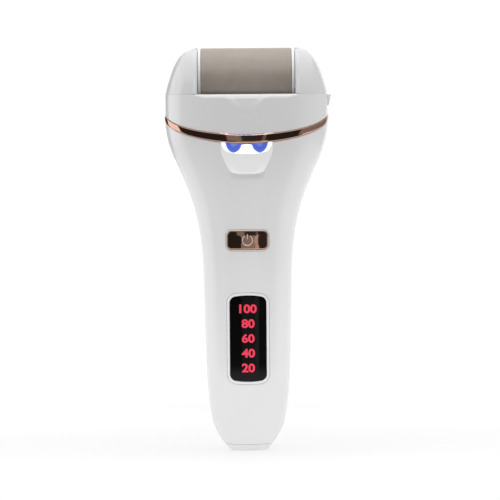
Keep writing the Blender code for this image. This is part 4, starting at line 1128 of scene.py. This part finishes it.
# Heights where the lip starts, is full and ends, and how far it stands proud.
LIP = (135.6, 128.7, 127.1, 1.7)


def lens_outline(grow=0.0):
    """Bowl-shaped lamp opening, which runs up behind the ring."""
    turn = full_turn(160)
    x = (LENS_REACH[0] + grow) * squared(np.cos(turn), LENS_POWER)
    reach = np.where(np.sin(turn) < 0, LENS_REACH[1], LENS_REACH[2]) + grow
    z = LENS_TOP + reach * squared(np.sin(turn), LENS_POWER)
    return np.stack([x, z], 1)


def lip_inset(x, z, share):
    """The dish below the lamp comes forward to a proud rounded lip."""
    start, full, end, proud = LIP
    width = np.interp(z, (127.1, 129.2, 135.1, 139.0), (7.0, 8.3, 11.1, 11.9))
    sides = 1.0 - ease((np.abs(x) - width + 4.0) / 3.8)
    return -proud * ease((start - z) / (start - full)) * sides * ease((z - end) / 0.9)


def make_lamp():
    edge = [(0.0, 4.0), (0.0, 0.05), (-0.01, 0.015), (-0.04, 0.0)]
    # The scoop's whiter, faintly glowing finish is painted lamp light.
    insert = front_inlay("lamp_scoop", lamp_outline, edge, (0.0, 133.6), "scoop", 40, lip_inset)
    levels = ((0.0, CUT_DEPTH), (0.0, 0.5), (0.06, 0.12), (0.2, -0.05), (0.6, -2.0))
    combine(insert, cutter(front_rings(lens_outline, levels)))
    cut_at_ring(insert)
    place(insert, "handle", "white_gloss", "lamp_insert")
    edge = [(-0.05, 2.4), (-0.05, 0.4), (-0.12, 0.22), (-0.4, 0.15)]
    cover = front_inlay("lamp_cover_lens", lens_outline, edge, (0.0, LENS_TOP - 2.0), "lens", 12)
    cut_at_ring(cover)
    place(cover, "handle", "lamp_clear", "lamp_lens")


def cut_at_ring(obj):
    """Trims a piece of the front along the lower edge of the ring."""
    angle = np.radians(np.linspace(180, 360, 121))
    low = ring_low(angle) - 0.12
    rings = []
    for inset in (-4.0, 12.0):
        lower = form_points(angle, low, inset)
        upper = form_points(angle, np.full(len(angle), 160.0), inset)
        rings.append(np.concatenate([lower, upper[::-1]]))
    combine(obj, cutter(rings))


# ---- CAD nodes that stay

KEPT = {
    "frame_white": ("switch_plunger",),
    "black": ("power_switch", "display_mask", "motor_driver_chip", "charge_chip", "socket_tongue",
              "motor_end_cap"),
    "magnet": ("motor_magnet_front", "motor_magnet_rear"),
    "board": ("display_board", "lamp_board", "main_board", "charge_board"),
    "led": ("lamp_led_1", "lamp_led_2", "lamp_led_3"),
    "steel": ("release_spring", "idler_gear_pin", "step_gear_pin", "motor_can", "gear_plate", "motor_screw_1",
              "motor_screw_2", "head_screw_1", "head_screw_2"),
    "brass": ("motor_pinion",),
    "nickel": ("charge_socket", "battery_tab_upper", "battery_tab_lower"),
    "winding": ("motor_rotor",),
    "nylon": ("idler_gear", "step_gear"),
    "sleeve": ("battery_cell",),
    "rubber": ("motor_saddle_front", "motor_saddle_rear"),
}


def dress_cad_nodes():
    for look, names in KEPT.items():
        for name in names:
            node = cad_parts[name]
            if not node.material_slots:
                node.data.materials.append(LOOKS[look])
            for slot in node.material_slots:
                slot.material = LOOKS[look]


# ---- studio

WHITE = (1.0, 1.0, 1.0, 1.0)
FLOOR_GREY = 0.44
FLOOR_GLOW = 0.525
FLOOR_REACH = 14.0
WORLD_STRENGTH = 1.05


def floor_look():
    look = Look("floor_pale", Roughness=0.6, Specular_IOR_Level=0.2, Emission_Color=WHITE,
                Emission_Strength=FLOOR_GLOW)
    tones = ((0.3, (FLOOR_GREY - 0.01,) * 3), (0.7, (FLOOR_GREY + 0.01,) * 3))
    look.set("Base Color", look.ramp(look.noise(3.0), tones))
    return look.made


def card_look(name, glow):
    """Matte card: black, or glowing evenly."""
    return Look(name, Base_Color=(0.01, 0.01, 0.01, 1.0), Roughness=0.9, Specular_IOR_Level=0.0,
                Emission_Color=WHITE, Emission_Strength=glow).made


def panel(name, corners, look, faces=((0, 1, 2, 3),)):
    mesh = bpy.data.meshes.new(name)
    mesh.from_pydata(corners, [], faces)
    mesh.materials.append(look)
    made = add_to_scene(bpy.data.objects.new(name, mesh))
    return made


def hide_rays(obj, *kinds):
    for kind in kinds:
        setattr(obj, "visible_" + kind, False)


def area_light(name, at, towards, size, power):
    data = bpy.data.lights.new(name, "AREA")
    data.shape = "RECTANGLE"
    data.size, data.size_y = size
    data.energy = power
    light = bpy.data.objects.new(name, data)
    light.location = at
    light.rotation_mode = "QUATERNION"
    light.rotation_quaternion = (Vector(towards) - Vector(at)).to_track_quat("-Z", "Y")
    hide_rays(light, "camera")
    add_to_scene(light)


CARD_RADIUS = 0.24
CARD_SPLIT = 0.085
CARD_HEIGHTS = ((CARD_SPLIT, 0.31), (0.002, CARD_SPLIT))
# Turn of each card's edges from the camera's direction in degrees, and its glow, above and below the split.
CARDS = (
    ((-150.0, -122.0, 0.05), (-122.0, -78.0, 1.5), (-78.0, -12.0, 0.02), (-12.0, -2.2, 0.3),
     (-2.2, 8.8, 0.035), (8.8, 11.4, 0.2), (11.4, 50.0, 0.02), (50.0, 135.0, 0.3)),
    ((-78.0, -6.5, 0.02), (-6.5, 8.4, 0.34), (8.4, 14.5, 0.6), (14.5, 60.0, 0.03)),
)
# Dark flags that only soften the diffuse light: corners on the floor plan, and lower and upper edge.
FLAGS = (
    ((-0.17, -0.12), (0.17, -0.12), 0.12, 0.215),
    ((0.1, 0.15), (-0.1, 0.15), 0.07, 0.2),
    ((0.24, 0.0), (0.24, 0.13), 0.1, 0.2),
    ((-0.24, 0.13), (-0.24, 0.0), 0.1, 0.2),
)


def make_studio():
    world = bpy.data.worlds.new("studio")
    bpy.context.scene.world = world
    world.use_nodes = True
    background = world.node_tree.nodes["Background"]
    background.inputs["Color"].default_value = WHITE
    background.inputs["Strength"].default_value = WORLD_STRENGTH
    corners = ((-1, -1), (1, -1), (1, 1), (-1, 1))
    panel("floor", [(FLOOR_REACH * x, FLOOR_REACH * y, 0) for x, y in corners], floor_look())
    for (x0, y0), (x1, y1), low, high in FLAGS:
        corners = ((x0, y0, low), (x1, y1, low), (x1, y1, high), (x0, y0, high))
        hide_rays(panel("flag", corners, card_look("flag_black", 0.0)), "camera", "glossy")
    for (low, high), cards in zip(CARD_HEIGHTS, CARDS):
        for start, end, glow in cards:
            steps = max(2, round((end - start) / 4))
            edges = [radians(start + (end - start) * k / steps) for k in range(steps + 1)]
            points = [(CARD_RADIUS * sin(t), -CARD_RADIUS * cos(t), z) for z in (low, high) for t in edges]
            faces = [(k, k + 1, k + steps + 2, k + steps + 1) for k in range(steps)]
            hide_rays(panel("card", points, card_look("card", glow), faces), "camera", "diffuse", "shadow")
    area_light("top_light", (0.0, 0.0, 0.8), (0.0, 0.0, 0.1), (0.6, 0.45), 0.8)
    area_light("strip_light", (0.0, -0.5, 0.62), (0.0, 0.0, 0.16), (0.17, 0.05), 0.4)


CAMERA_DISTANCE = 1.25
CAMERA_ELEVATION = radians(2.5)
FRAME_WIDTH = 0.230
SENSOR = 36.0
AIM = (0.00155, 0.0, 0.0918)
ROLL = radians(0.45)


def make_camera():
    data = bpy.data.cameras.new("camera")
    camera = add_to_scene(bpy.data.objects.new("camera", data))
    data.sensor_width = SENSOR
    data.lens = SENSOR * CAMERA_DISTANCE / FRAME_WIDTH
    data.clip_start, data.clip_end = 0.05, 60.0
    aim = Vector(AIM)
    camera.location = aim + Vector((0.0, -cos(CAMERA_ELEVATION), sin(CAMERA_ELEVATION))) * CAMERA_DISTANCE
    camera.rotation_euler = (pi / 2 - CAMERA_ELEVATION, ROLL, 0.0)
    bpy.context.scene.camera = camera


def main():
    make_camera()
    make_shells()
    make_foot()
    make_ring()
    make_housing()
    make_cradle()
    make_catch()
    make_roller()
    make_axle()
    make_button()
    make_display()
    make_lamp()
    dress_cad_nodes()
    make_studio()
    scene = bpy.context.scene
    scene.view_settings.view_transform = "Standard"
    scene.view_settings.look = "None"


main()
